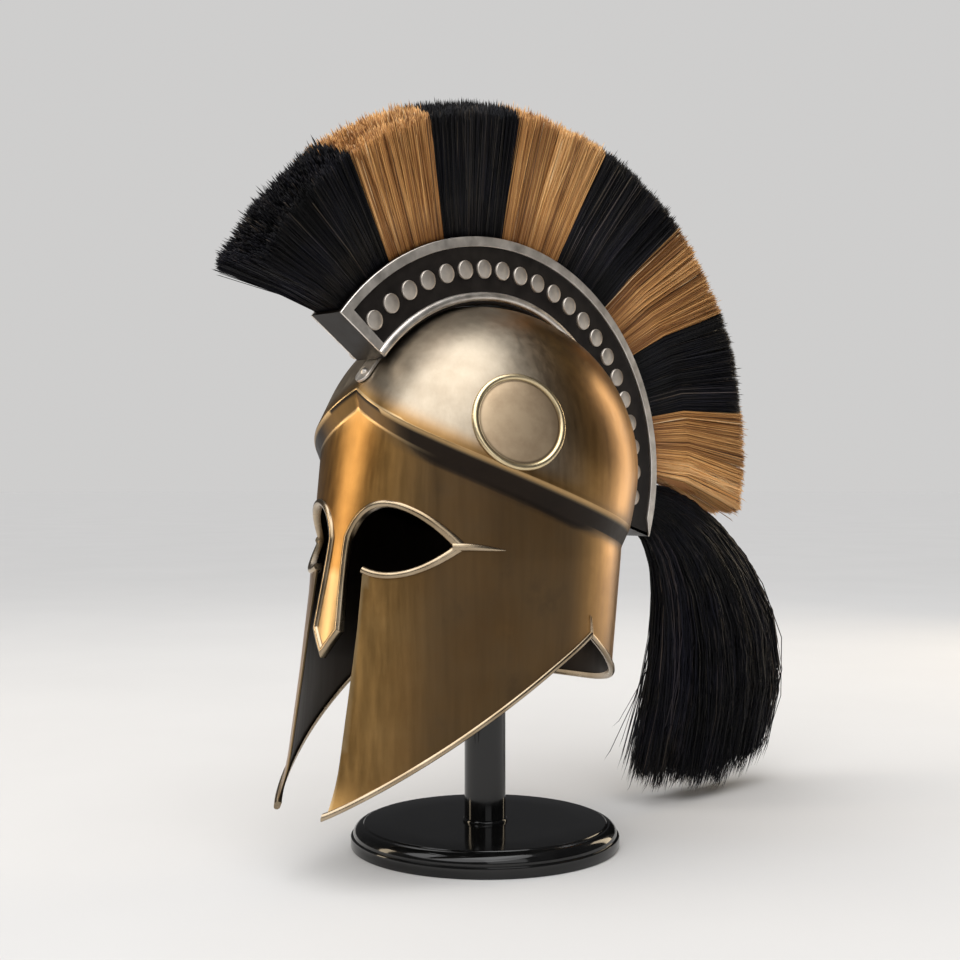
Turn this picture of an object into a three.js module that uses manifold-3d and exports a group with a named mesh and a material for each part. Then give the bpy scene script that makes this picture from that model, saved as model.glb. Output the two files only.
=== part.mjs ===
// A Corinthian bronze helmet with a horse hair crest, held up by its round stand.
// Millimetres. +Z is up, the face looks along -Y, and the wearer's left is +X.
// The origin is the centre of the stand's underside.
import * as THREE from "three";
import { mergeVertices } from "three/addons/utils/BufferGeometryUtils.js";
import Module from "manifold-3d";

const wasm = await Module();
wasm.setup();

const { abs, acos, atan2, cos, hypot, max, PI, round, sin, sqrt } = Math;
const degree = PI / 180;

// ---------- driving dimensions ----------

const gap = 0.3; // air between neighbouring pieces
const sheet = 1.6; // thickness of the bronze

const skull = { y: -5.5, z: 259.5, side: 101, front: 120, back: 120, height: 112.5 };
const lip = {
  brow: 311.3,
  nape: 213,
  bend: 1.95,
  browFlare: 2.8,
  sideFlare: 1.8,
  flareHeight: 24,
  bandHeight: 13,
};
const face = {
  reach: 107.7,
  z: 296,
  lean: 0.192,
  squareness: 0.25,
  squareFrom: 180,
  squareTo: 280,
  flickBelow: 80,
  flick: 0.005,
};
const wallSections = [
  // half width of the lower wall and its reach to the back, by height
  { z: 40, side: 87, back: 98 },
  { z: 130, side: 87, back: 98 },
  { z: 202, side: 92, back: 105 },
  { z: 300, side: 94, back: 109 },
];
const cheekTip = { y: -161, z: 45.5, bulge: 2.2 };
const notch = { angle: 102, z: 148.5, spikeHeight: 8, spikeWidth: 2.4, spikeTip: 0.5, spikeLean: 2.6 };
const nape = { y: 94, z: 107.5, bend: 1.3, flare: 1.5, flareHeight: 16 };
const shellColumns = 60;
const skullRings = [0.16, 0.32, 0.47, 0.61, 0.75, 0.89, 1];
const wallRings = [0, 0.33, 0.67, 1];

const eye = {
  cheekCorner: [23.2, 196.8],
  lowerPull: [50, 186],
  outerCorner: [70, 211.3],
  upperPullOut: [56, 239],
  upperPullIn: [20, 252],
  bridge: [7.6, 216.5],
};
const nasal = { waist: [8.6, 198], heel: [11, 159], tip: [0, 145] };
const slot = { middle: [24.8, 160], foot: [25.8, 20] };
const faceTrim = { width: 4, proud: 1.2, depth: 4.4, spikeEnd: [82, 208.8], spikeWidth: 4.6 };
const hemTrim = { height: 4.6, proud: 1.4, inside: 1 };
const temple = { x: 87.6, y: -53.7, z: 289.5, radius: 31.8, ring: 3.2, field: 1.2, proud: 2.2 };

const crest = {
  y: -3.5,
  z: 259.5,
  frontAngle: 144.3,
  backAngle: -17,
  halfWidth: 14,
  wall: 2,
  step: 7,
};
const crestCurves = {
  // reach of each ellipse to the front, the back and the crown
  top: { front: 172, back: 172, crown: 159 },
  bead: { front: 128, back: 120.5, crown: 115.5 },
  floor: { front: 127, back: 120, crown: 113.2 },
};
const frame = { band: 6.6, proud: 1.6, beadHeight: 6, beadProud: 3, frontBand: 2.7, taper: 5 };
const studs = {
  first: 138.9,
  pitch: 7.33,
  perSide: 21,
  separate: 18,
  radius: 6.7,
  height: 1.8,
  segments: 10,
};
const bracket = {
  halfWidth: 6,
  thickness: 1.8,
  lowZ: 315,
  highZ: 333,
  rivetZ: 321.5,
  rivetRadius: 2.6,
};

const tufts = [
  // the crest's tufts from the front: where each ends, in degrees, at the box and at the tips
  { colour: "blackHair", from: 142.2, fromTip: 150, to: 125, toTip: 125 },
  { colour: "tanHair", from: 125, fromTip: 125, to: 106.7, toTip: 106.7 },
  { colour: "blackHair", from: 106.7, fromTip: 106.7, to: 87, toTip: 87 },
  { colour: "tanHair", from: 87, fromTip: 87, to: 67, toTip: 66.5 },
  { colour: "blackHair", from: 67, fromTip: 66.5, to: 46.5, toTip: 46.2 },
  { colour: "tanHair", from: 46.5, fromTip: 46.2, to: 30.8, toTip: 30.2 },
  { colour: "blackHair", from: 30.8, fromTip: 30.2, to: 14, toTip: 13 },
  { colour: "tanHair", from: 14, fromTip: 13, to: -0.5, toTip: -4 },
];
const hair = {
  rootDepth: 9,
  rise: 3,
  rootHalf: 11.4,
  tipHalf: 24,
  lockAngle: 4.8,
  groove: 0.16,
  tipDrop: 9,
};
const hairReach = [
  // distance of the cut tips from the crest's centre, by angle
  { angle: -10, reach: 270 },
  { angle: 5, reach: 277 },
  { angle: 25, reach: 281 },
  { angle: 50, reach: 272 },
  { angle: 75, reach: 258 },
  { angle: 100, reach: 251.5 },
  { angle: 150, reach: 249 },
];
const tail = {
  // the outermost and innermost lock: root angle and the pulls and end of its fall, in the Y Z plane
  outer: { angle: -3.2, pullOut: [254, 250], pullDown: [398, 128], end: [300, 20] },
  inner: { angle: -12.8, pullOut: [202, 203], pullDown: [207, 122], end: [170, 12] },
  backing: { from: -0.8, to: -15.7 },
  locks: 5,
  layers: 2,
  rootHalf: 4.5,
  endHalf: 13,
  width: 25,
  thickness: 19,
  tipShare: 0.18,
  steps: 6,
};

const base = {
  radius: 93,
  discRadius: 84.5,
  ledge: 8,
  height: 16.3,
  round: 7,
  step: 1.4,
  edge: 0.8,
  segments: 32,
};
const post = { radius: 14.3, top: 326, segments: 24 };
const headRest = { radius: 48, height: 14, undercut: 6, side: 98.5, clearance: 2.3, segments: 24 };

const finishes = {
  bronze: { color: 0x7d5f33, roughness: 0.36, metalness: 1 },
  polishedBronze: { color: 0xb8976a, roughness: 0.25, metalness: 1 },
  steel: { color: 0xb9b2aa, roughness: 0.32, metalness: 1 },
  blackPanel: { color: 0x100e0c, roughness: 0.4, metalness: 0.3 },
  blackHair: { color: 0x0b0b10, roughness: 0.75, metalness: 0 },
  tanHair: { color: 0xb07a3c, roughness: 0.75, metalness: 0 },
  blackGloss: { color: 0x050505, roughness: 0.12, metalness: 0 },
};

// ---------- solids ----------

// A manifold solid from shared points and faces, turned inside out if its faces point inwards.
function solidFrom(points, faces) {
  const vertProperties = new Float32Array(points.flatMap((p) => [p.x, p.y, p.z]));
  const make = (list) => {
    const triVerts = new Uint32Array(list.flat());
    return new wasm.Manifold(new wasm.Mesh({ numProp: 3, vertProperties, triVerts }));
  };
  const made = make(faces);
  return made.volume() < 0 ? make(faces.map(([a, b, c]) => [a, c, b])) : made;
}

function solidFromGeometry(geometry) {
  geometry.deleteAttribute("normal");
  geometry.deleteAttribute("uv");
  const merged = mergeVertices(geometry, 1e-3);
  const mesh = new wasm.Mesh({
    numProp: 3,
    vertProperties: merged.attributes.position.array,
    triVerts: new Uint32Array(merged.index.array),
  });
  return new wasm.Manifold(mesh);
}

// Joins flat sections, each placed in space by its station, into one body with closed ends.
function sweep(stations) {
  const sections = stations.map((s) => s.section.map(([a, b]) => new THREE.Vector2(a, b)));
  const turned = THREE.ShapeUtils.area(sections[0]) < 0;
  if (turned) sections.forEach((s) => s.reverse());
  const count = sections[0].length;
  const points = stations.flatMap((s, k) => sections[k].map((p) => s.place(p.x, p.y)));
  const faces = [];
  for (let k = 0; k + 1 < stations.length; k++)
    for (let i = 0; i < count; i++) {
      const a = k * count + i;
      const b = k * count + ((i + 1) % count);
      faces.push([a, b, b + count], [a, b + count, a + count]);
    }
  const last = (stations.length - 1) * count;
  const { triangulateShape } = THREE.ShapeUtils;
  for (const [a, b, c] of triangulateShape(sections[0], [])) faces.push([a, c, b]);
  for (const [a, b, c] of triangulateShape(sections.at(-1), []))
    faces.push([last + a, last + b, last + c]);
  return solidFrom(points, faces);
}

function lathe(profile, segments) {
  const points = profile.map(([r, z]) => new THREE.Vector2(r, z));
  return solidFromGeometry(new THREE.LatheGeometry(points, segments).rotateX(PI / 2));
}

// A prism whose outline is drawn in the X Z plane, cut through the front of the helmet along Y.
function frontPrism(outline) {
  const shape = new THREE.Shape(outline.map(([x, z]) => new THREE.Vector2(x, z)));
  const prism = new THREE.ExtrudeGeometry(shape, { depth: 190, bevelEnabled: false });
  return solidFromGeometry(prism.rotateX(PI / 2).translate(0, -30, 0));
}

function unite(solids) {
  return solids.reduce((a, b) => a.add(b));
}

function lerp(a, b, t) {
  return a + (b - a) * t;
}

function betweenRows(rows, key, value, wanted) {
  const i = max(1, rows.findIndex((row) => row[key] >= value));
  const [low, high] = [rows[i - 1], rows[i]];
  return lerp(low[wanted], high[wanted], (value - low[key]) / (high[key] - low[key]));
}

// ---------- the bronze shell ----------
// Theta runs round the shell's upright axis: 0 is the middle of the face and +90 degrees the left side.

function polarRadius(theta, side, reach, power) {
  return (abs(sin(theta) / side) ** power + abs(cos(theta) / reach) ** power) ** (-1 / power);
}

function shellPoint(theta, radius, z) {
  return new THREE.Vector3(radius * sin(theta), skull.y - radius * cos(theta), z);
}

function lipHeight(theta) {
  return lerp(lip.nape, lip.brow, (1 - abs(theta) / PI) ** lip.bend);
}

// The skull is an ellipsoid that flares a little just above the lip, most at the brow.
function skullRadius(theta, z) {
  const reach = cos(theta) > 0 ? skull.front : skull.back;
  const level = polarRadius(theta, skull.side, reach, 2) * sqrt(1 - ((z - skull.z) / skull.height) ** 2);
  const flare = lerp(lip.sideFlare, lip.browFlare, cos(theta / 2) ** 8);
  return level + flare * max(0, 1 - (z - lipHeight(theta)) / lip.flareHeight) ** 2;
}

function skullPoint(theta, t) {
  const polar = t * acos((lipHeight(theta) - skull.z) / skull.height);
  const z = skull.z + skull.height * cos(polar);
  return shellPoint(theta, skullRadius(theta, z), z);
}

function wallRadius(theta, z) {
  const side = betweenRows(wallSections, "z", z, "side");
  if (cos(theta) > 0) {
    const square = (z - face.squareFrom) / (face.squareTo - face.squareFrom);
    const power = 2 + face.squareness * THREE.MathUtils.clamp(square, 0, 1);
    const flick = face.flick * max(0, face.flickBelow - z) ** 2;
    return polarRadius(theta, side, face.reach + face.lean * (face.z - z) + flick, power);
  }
  const low = max(0, 1 - (z - nape.z) / nape.flareHeight);
  const flare = nape.flare * low ** 2 * cos(theta) ** 2;
  return polarRadius(theta, side, betweenRows(wallSections, "z", z, "back"), 2) + flare;
}

function wallY(theta, z) {
  return skull.y - wallRadius(theta, z) * cos(theta);
}

// Height of the hem where the wall crosses its outline in side view.
function hemHeight(theta) {
  const notchY = wallY(notch.angle * degree, notch.z);
  const outline = (y) => {
    if (abs(theta) <= notch.angle * degree + 1e-6) {
      const s = (y - cheekTip.y) / (notchY - cheekTip.y);
      return lerp(cheekTip.z, notch.z, s) + 4 * cheekTip.bulge * s * (1 - s);
    }
    const s = THREE.MathUtils.clamp((y - notchY) / (nape.y - notchY), 0, 1);
    return lerp(nape.z, notch.z, (1 - s) ** nape.bend);
  };
  let [low, high] = [25, 200];
  for (let i = 0; i < 40; i++) {
    const z = (low + high) / 2;
    if (z < outline(wallY(theta, z))) low = z;
    else high = z;
  }
  return low;
}

function wallNormal(theta, z) {
  const e = 0.01;
  const at = (t, h) => shellPoint(t, wallRadius(t, h), h);
  const along = at(theta + e, z).sub(at(theta - e, z));
  const up = at(theta, z + e).sub(at(theta, z - e));
  return along.cross(up).normalize();
}

// The layer between two offsets of the shell's surface, its hem lifted by the given height.
function shellLayer(outside, inside, hemLift) {
  const thetas = Array.from({ length: shellColumns }, (_, i) => (i * 2 * PI) / shellColumns - PI);
  const grid = skullRings.map((t) => thetas.map((theta) => skullPoint(theta, t)));
  for (const s of wallRings)
    grid.push(
      thetas.map((theta) => {
        const z = lerp(lipHeight(theta) - lip.bandHeight, hemHeight(theta) + hemLift, s);
        return shellPoint(theta, wallRadius(theta, z), z);
      }),
    );
  const top = new THREE.Vector3(0, skull.y, skull.z + skull.height);
  const rows = grid.length;
  const columns = shellColumns;
  const at = (i, j) => (i < 0 ? top : grid[i][(j + columns) % columns]);
  const normal = (i, j) => {
    const across = at(i, j + 1).clone().sub(at(i, j - 1));
    const down = at(Math.min(i + 1, rows - 1), j).clone().sub(at(i - 1, j));
    return down.cross(across).normalize();
  };
  const surface = (offset) => [
    top.clone().setZ(top.z + offset),
    ...grid.flatMap((row, i) => row.map((p, j) => p.clone().addScaledVector(normal(i, j), offset))),
  ];
  const points = [...surface(outside), ...surface(inside)];
  const half = points.length / 2;
  const index = (i, j) => 1 + i * columns + (j % columns);
  const faces = [];
  for (let j = 0; j < columns; j++) {
    faces.push([0, index(0, j), index(0, j + 1)]);
    faces.push([half, half + index(0, j + 1), half + index(0, j)]);
    for (let i = 0; i + 1 < rows; i++) {
      const [a, b, c, d] = [index(i, j), index(i + 1, j), index(i + 1, j + 1), index(i, j + 1)];
      faces.push([a, b, c], [a, c, d]);
      faces.push([half + a, half + c, half + b], [half + a, half + d, half + c]);
    }
    const [a, b] = [index(rows - 1, j), index(rows - 1, j + 1)];
    faces.push([a, half + a, half + b], [a, half + b, b]);
  }
  return solidFrom(points, faces);
}

// ---------- the openings of the face ----------

function faceEdge() {
  const path = new THREE.Path();
  path.moveTo(...eye.cheekCorner);
  path.quadraticCurveTo(...eye.lowerPull, ...eye.outerCorner);
  path.bezierCurveTo(...eye.upperPullOut, ...eye.upperPullIn, ...eye.bridge);
  path.lineTo(...nasal.waist);
  path.lineTo(...nasal.heel);
  path.lineTo(...nasal.tip);
  return path.getPoints(8).map((p) => [p.x, p.y]);
}

function mirrored(points) {
  return points.map(([x, z]) => [-x, z]).reverse();
}

// The outline of a strip of even width along an open line, with mitred corners.
function strip(line, halfWidth) {
  const side = (sign) =>
    line.map(([x, z], i) => {
      const before = line[max(0, i - 1)];
      const after = line[Math.min(line.length - 1, i + 1)];
      const a = new THREE.Vector2(x - before[0], z - before[1]).normalize();
      const b = new THREE.Vector2(after[0] - x, after[1] - z).normalize();
      if (i === 0) a.copy(b);
      if (i === line.length - 1) b.copy(a);
      const bisector = new THREE.Vector2(-a.y - b.y, a.x + b.x).normalize();
      const mitre = (sign * halfWidth) / max(0.35, bisector.dot(new THREE.Vector2(-a.y, a.x)));
      return [x + bisector.x * mitre, z + bisector.y * mitre];
    });
  return [...side(1), ...side(-1).reverse()];
}

function spikeOutline(side, extra) {
  const [x, z] = eye.outerCorner;
  const [endX, endZ] = faceTrim.spikeEnd;
  const half = faceTrim.spikeWidth / 2 + extra;
  return [
    [side * x, z - half],
    [side * (endX + extra), endZ],
    [side * x, z + half],
  ];
}

const edge = faceEdge();
const wholeEdge = [...edge, ...mirrored(edge).slice(1)];
const slotSide = [slot.foot, slot.middle];
const opening = frontPrism([...wholeEdge, ...mirrored(slotSide), ...slotSide]);

function helmetShell() {
  const trimRoom = frontPrism(strip(wholeEdge, faceTrim.width / 2 + gap));
  const layer = shellLayer(0, -sheet, hemTrim.height + gap);
  return layer.subtract(opening).subtract(trimRoom);
}

function faceTrimSolid() {
  const ring = shellLayer(faceTrim.proud, -faceTrim.depth, 0);
  const skin = shellLayer(faceTrim.proud, gap, 0);
  const spikes = [1, -1].map((side) => skin.intersect(frontPrism(spikeOutline(side, 0))));
  return unite([ring.intersect(frontPrism(strip(wholeEdge, faceTrim.width / 2))), ...spikes]);
}

// A rounded bead along the hem between two angles, with the sheet's edge resting in it.
function hemBead(fromAngle, toAngle) {
  const steps = round(abs(toAngle - fromAngle) / 6);
  const { height, proud, inside } = hemTrim;
  const depth = -sheet - inside;
  const section = [
    [depth, 0.25 * height],
    [0.4 * depth, 0],
    [0.5 * proud, 0],
    [proud, 0.3 * height],
    [proud, 0.7 * height],
    [0.4 * proud, height],
    [depth, height],
  ];
  const stations = Array.from({ length: steps + 1 }, (_, k) => {
    const theta = lerp(fromAngle, toAngle, k / steps) * degree;
    const low = hemHeight(theta);
    const place = (offset, rise) => {
      const z = low + rise;
      return shellPoint(theta, wallRadius(theta, z), z).addScaledVector(wallNormal(theta, z), offset);
    };
    return { section, place };
  });
  return sweep(stations);
}

function cheekTrim(side) {
  const bead = hemBead(side * 6, side * (notch.angle - 0.25));
  return bead.subtract(opening);
}

// The neck's bead, with the short spike that stands on the wall above each notch.
function neckTrim() {
  const start = notch.angle + 0.25;
  const bead = hemBead(start, 360 - start);
  const spikes = [1, -1].map((side) => {
    const theta = side * (start + 0.9) * degree;
    const rises = [0.5 * hemTrim.height, hemTrim.height + notch.spikeHeight];
    const widths = [notch.spikeWidth, notch.spikeTip];
    const leans = [0, -side * notch.spikeLean];
    const stations = rises.map((rise, k) => {
      const half = widths[k] / 2;
      const section = [
        [-half, gap],
        [half, gap],
        [0, hemTrim.proud],
      ];
      const z = hemHeight(theta) + rise;
      const across = new THREE.Vector3(cos(theta), sin(theta), 0);
      const normal = wallNormal(theta, z);
      const foot = shellPoint(theta, wallRadius(theta, z), z).addScaledVector(across, leans[k]);
      const place = (x, out) => foot.clone().addScaledVector(across, x).addScaledVector(normal, out);
      return { section, place };
    });
    return sweep(stations);
  });
  return unite([bead, ...spikes]);
}

// ---------- the discs at the temples ----------

// Where a line that starts inside the skull comes out through its surface.
function skullHit(from, direction) {
  const at = (t) => from.clone().addScaledVector(direction, t);
  let [inside, outside] = [0, 80];
  for (let i = 0; i < 40; i++) {
    const t = (inside + outside) / 2;
    const p = at(t);
    const theta = atan2(p.x, skull.y - p.y);
    if (hypot(p.x, p.y - skull.y) < skullRadius(theta, p.z)) inside = t;
    else outside = t;
  }
  return at(inside);
}

function skullNormal(p) {
  const local = p.clone().sub(new THREE.Vector3(0, skull.y, skull.z));
  const squares = new THREE.Vector3(skull.side ** 2, skull.front ** 2, skull.height ** 2);
  return local.divide(squares).normalize();
}

function templeDisc(side) {
  const axis = skullNormal(new THREE.Vector3(side * temple.x, temple.y, temple.z));
  const inward = new THREE.Vector3(side * temple.x, temple.y, temple.z).addScaledVector(axis, -40);
  const middle = skullHit(inward, axis);
  const u = new THREE.Vector3(0, 0, 1).cross(axis).normalize();
  const v = axis.clone().cross(u);
  const lift = 2 * gap;
  const inner = temple.radius - temple.ring;
  const rings = [
    { radius: inner / 2, height: temple.field },
    { radius: inner - 0.6, height: temple.field },
    { radius: inner, height: temple.proud },
    { radius: temple.radius - 0.8, height: temple.proud },
    { radius: temple.radius, height: lift },
    { radius: inner / 2, height: lift },
  ];
  const segments = 24;
  const place = (radius, angle, height) => {
    const flat = middle.clone();
    flat.addScaledVector(u, radius * cos(angle)).addScaledVector(v, radius * sin(angle));
    const foot = skullHit(flat.addScaledVector(axis, -40), axis);
    return foot.addScaledVector(skullNormal(foot), height);
  };
  const points = [place(0, 0, temple.field), place(0, 0, lift)];
  for (const ring of rings)
    for (let j = 0; j < segments; j++) {
      const angle = (2 * PI * j) / segments;
      points.push(place(ring.radius, angle, ring.height));
    }
  const index = (i, j) => 2 + i * segments + (j % segments);
  const faces = [];
  for (let j = 0; j < segments; j++) {
    faces.push([0, index(0, j), index(0, j + 1)]);
    for (let i = 0; i + 1 < rings.length; i++) {
      faces.push([index(i, j), index(i + 1, j), index(i + 1, j + 1)]);
      faces.push([index(i, j), index(i + 1, j + 1), index(i, j + 1)]);
    }
    faces.push([1, index(rings.length - 1, j + 1), index(rings.length - 1, j)]);
  }
  return solidFrom(points, faces);
}

// ---------- the crest's box, frames and studs ----------
// Phi runs round the crest's centre in the Y Z plane: 0 points to the back and 90 degrees up.

function arcRadius(curve, phi) {
  const { front, back, crown } = crestCurves[curve];
  const reach = cos(phi) > 0 ? back : front;
  return 1 / sqrt((cos(phi) / reach) ** 2 + (sin(phi) / crown) ** 2);
}

function crestPoint(phi, x, radius) {
  return new THREE.Vector3(x, crest.y + radius * cos(phi), crest.z + radius * sin(phi));
}

function arcSweep(fromAngle, toAngle, sectionAt) {
  const steps = max(1, round(abs(toAngle - fromAngle) / crest.step));
  const stations = Array.from({ length: steps + 1 }, (_, k) => {
    const phi = lerp(fromAngle, toAngle, k / steps) * degree;
    return { section: sectionAt(phi), place: (x, r) => crestPoint(phi, x, r) };
  });
  return sweep(stations);
}

function rectangle(x0, x1, r0, r1) {
  return [
    [x0, r0],
    [x1, r0],
    [x1, r1],
    [x0, r1],
  ];
}

// A stud's disc at a given angle, standing on a plane X = foot.
function studSolid(side, number, foot, height) {
  const phi = (studs.first - studs.pitch * number) * degree;
  const inner = arcRadius("bead", phi) + frame.beadHeight;
  const outer = arcRadius("top", phi) - frame.band;
  const disc = new THREE.CylinderGeometry(studs.radius, studs.radius, height, studs.segments);
  const centre = crestPoint(phi, side * (foot + height / 2), (inner + outer) / 2);
  return solidFromGeometry(disc.rotateZ(PI / 2).translate(centre.x, centre.y, centre.z));
}

// The open channel that holds the hair, with the last studs of each side cast on.
function crestBox() {
  const { halfWidth: w, wall, frontAngle, backAngle } = crest;
  const endAngle = 0.8;
  const channel = arcSweep(backAngle, frontAngle, (phi) => {
    const low = arcRadius("floor", phi);
    const high = arcRadius("top", phi);
    const bed = low + wall;
    return [
      [-w, high],
      [-w, low],
      [w, low],
      [w, high],
      [w - wall, high],
      [w - wall, bed],
      [wall - w, bed],
      [wall - w, high],
    ];
  });
  const plate = (phi) => rectangle(-w, w, arcRadius("floor", phi), arcRadius("top", phi));
  const ends = [
    arcSweep(backAngle, backAngle + endAngle, plate),
    arcSweep(frontAngle - endAngle, frontAngle, plate),
  ];
  const castOn = [];
  const sunk = 0.5;
  for (let i = studs.separate; i < studs.perSide; i++)
    for (const side of [1, -1]) castOn.push(studSolid(side, i, w - sunk, studs.height + gap + sunk));
  return unite([channel, ...ends, ...castOn]);
}

function crestFrame(side) {
  const foot = side * (crest.halfWidth + gap);
  const outside = side * (crest.halfWidth + frame.proud);
  const crown = side * (crest.halfWidth + frame.beadProud);
  const { frontAngle, backAngle } = crest;
  const band = arcSweep(backAngle, frontAngle, (phi) => {
    const top = arcRadius("top", phi);
    const width = frame.band * Math.min(1, 0.2 + (phi / degree - backAngle) / frame.taper);
    return rectangle(foot, outside, top - width, top);
  });
  const bead = arcSweep(backAngle, frontAngle, (phi) => {
    const low = arcRadius("bead", phi);
    const high = low + frame.beadHeight;
    return [
      [foot, low],
      [outside, low],
      [crown, low + 0.3 * frame.beadHeight],
      [crown, low + 0.7 * frame.beadHeight],
      [outside, high],
      [foot, high],
    ];
  });
  const front = arcSweep(frontAngle - frame.frontBand, frontAngle, (phi) =>
    rectangle(foot, outside, arcRadius("bead", phi) + 1, arcRadius("top", phi) - 1),
  );
  return unite([band, bead, front]);
}

// The strap that ties the box to the brow, bent to the skull, and its rivet.
function browLine(z) {
  return skull.y - skullRadius(0, z);
}

function browFrame(z) {
  const slope = (browLine(z + 0.1) - browLine(z - 0.1)) / 0.2;
  const normal = new THREE.Vector3(0, -1, slope).normalize();
  return { foot: new THREE.Vector3(0, browLine(z), z), normal };
}

function crestBracket() {
  const heights = [0, 0.08, 0.4, 0.7, 1].map((t) => lerp(bracket.lowZ, bracket.highZ, t));
  const widths = [0.6, 1, 1, 1, 1].map((share) => share * bracket.halfWidth);
  const stations = heights.map((z, k) => {
    const { foot, normal } = browFrame(z);
    const low = 2 * gap;
    return {
      section: rectangle(-widths[k], widths[k], low, low + bracket.thickness),
      place: (x, out) => foot.clone().addScaledVector(normal, out).setX(x),
    };
  });
  return sweep(stations);
}

function bracketRivet() {
  const { foot, normal } = browFrame(bracket.rivetZ);
  const r = bracket.rivetRadius;
  const head = lathe(
    [
      [0, 0],
      [r, 0],
      [0.9 * r, 0.5 * r],
      [0.45 * r, 0.8 * r],
      [0, 0.85 * r],
    ],
    12,
  );
  const turn = new THREE.Quaternion().setFromUnitVectors(new THREE.Vector3(0, 0, 1), normal);
  const place = foot.addScaledVector(normal, 3.2 * gap + bracket.thickness);
  const matrix = new THREE.Matrix4().compose(place, turn, new THREE.Vector3(1, 1, 1));
  return head.transform(matrix.elements);
}

// ---------- the hair ----------

// One tuft: upright locks side by side, fused along their length and to a backing in the box.
function tuftSolid(tuft, number) {
  const margin = gap / 2 / 160 / degree;
  const locks = max(3, round((tuft.from - tuft.to) / hair.lockAngle));
  const stations = [];
  for (let k = 0; k <= 2 * locks; k++) {
    const s = k / (2 * locks);
    const rootAngle = lerp(tuft.from - margin, tuft.to + margin, s);
    const tipAngle = lerp(tuft.fromTip - margin, tuft.toTip + margin, s);
    const root = arcRadius("top", rootAngle * degree) - hair.rootDepth;
    const valley = k % 2 === 0;
    const wave = 1.5 * sin(2.4 * k + 1.7 * number);
    const tip = betweenRows(hairReach, "angle", tipAngle, "reach") + wave - (valley ? 3 : 0);
    const full = valley ? 1 - hair.groove : 1;
    const mouth = root + hair.rootDepth + hair.rise;
    const middle = lerp(hair.rootHalf, hair.tipHalf, 0.5);
    const rightSide = [
      [hair.rootHalf, root],
      [hair.rootHalf, mouth],
      [full * middle, lerp(mouth, tip, 0.45)],
      [full * hair.tipHalf, tip - hair.tipDrop],
      [full * hair.tipHalf * 0.5, tip],
    ];
    const section = [...rightSide, ...rightSide.map(([x, r]) => [-x, r]).reverse()];
    const place = (x, r) => {
      const share = (r - root) / (tip - root);
      return crestPoint(lerp(rootAngle, tipAngle, share) * degree, x, r);
    };
    stations.push({ section, place });
  }
  return sweep(stations);
}

// The long tail: tapering locks in two layers that leave the box's end and fall behind the neck.
function tailSolid() {
  const { outer, inner } = tail;
  const locks = [];
  for (let layer = 0; layer < tail.layers; layer++)
    for (let i = 0; i < tail.locks; i++) {
      const s = (i + 0.5 * layer) / (tail.locks - 0.5);
      const side = layer === 0 ? -1 : 1;
      const rootPhi = lerp(outer.angle, inner.angle, s) * degree;
      const rootX = side * tail.rootHalf;
      const endX = side * tail.endHalf * (1 + 0.25 * sin(3.1 * i + layer));
      const pull = (key, x) => {
        const y = lerp(outer[key][0], inner[key][0], s);
        const z = lerp(outer[key][1], inner[key][1], s);
        return new THREE.Vector3(x, y, z);
      };
      const start = crestPoint(rootPhi, rootX, arcRadius("top", rootPhi) - hair.rootDepth + 1);
      const curve = new THREE.CubicBezierCurve3(
        start,
        pull("pullOut", 2 * rootX),
        pull("pullDown", 1.3 * endX),
        pull("end", endX),
      );
      locks.push(lockSolid(curve));
    }
  const backing = arcSweep(tail.backing.from, tail.backing.to, (phi) => {
    const root = arcRadius("top", phi) - hair.rootDepth;
    return rectangle(-hair.rootHalf, hair.rootHalf, root, root + hair.rootDepth - 1);
  });
  return unite([backing, ...locks]);
}

// One lock of six sides that swells below the box and comes to a point.
function lockSolid(curve) {
  const stations = Array.from({ length: tail.steps + 1 }, (_, k) => {
    const t = k / tail.steps;
    const point = curve.getPoint(t);
    const along = curve.getTangent(t);
    const across = new THREE.Vector3(1, 0, 0).addScaledVector(along, -along.x).normalize();
    const out = across.clone().cross(along);
    const swell = 0.42 + 1.3 * t * (1 - t) ** 0.5;
    const full = k === tail.steps ? tail.tipShare : swell * (1 - 0.35 * t ** 3);
    const section = [0, 1, 2, 3, 4, 5].map((i) => {
      const angle = (i * PI) / 3;
      return [(full * tail.thickness * cos(angle)) / 2, (full * tail.width * sin(angle)) / 2];
    });
    const place = (x, y) => point.clone().addScaledVector(across, x).addScaledVector(out, y);
    return { section, place };
  });
  return sweep(stations);
}

// ---------- the stand ----------

function standBase() {
  const { radius, discRadius, ledge, height } = base;
  const foot = radius - base.step;
  const moulding = [0.35, 0.7, 1].map((share) => {
    const turn = (share * PI) / 2;
    return [lerp(discRadius, foot, cos(turn)), ledge + base.round * sin(turn)];
  });
  const profile = [
    [0, 0],
    [radius - base.edge, 0],
    [radius, base.edge],
    [radius, ledge - base.edge / 2],
    [foot, ledge],
    ...moulding,
    [discRadius - base.edge, height],
    [0, height],
  ];
  return lathe(profile, base.segments);
}

function standPost() {
  const low = base.height + gap;
  const profile = [
    [0, low],
    [post.radius, low],
    [post.radius, post.top],
    [0, post.top],
  ];
  return lathe(profile, post.segments);
}

// The turned block on the post that the crown of the helmet rests on.
function headRestSolid() {
  const { radius, side } = headRest;
  const crown = skull.z + skull.height - sheet - headRest.clearance;
  const topAt = (r) => crown - skull.height * (1 - sqrt(1 - (r / side) ** 2));
  const low = post.top + gap;
  const profile = [
    [0, low],
    [radius - headRest.undercut, low],
    [radius, topAt(radius) - headRest.height],
    ...[1, 0.75, 0.5, 0.25, 0].map((share) => [share * radius, topAt(share * radius)]),
  ];
  return lathe(profile, headRest.segments);
}

// ---------- the assembly ----------

const helmet = new THREE.Group();

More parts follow.
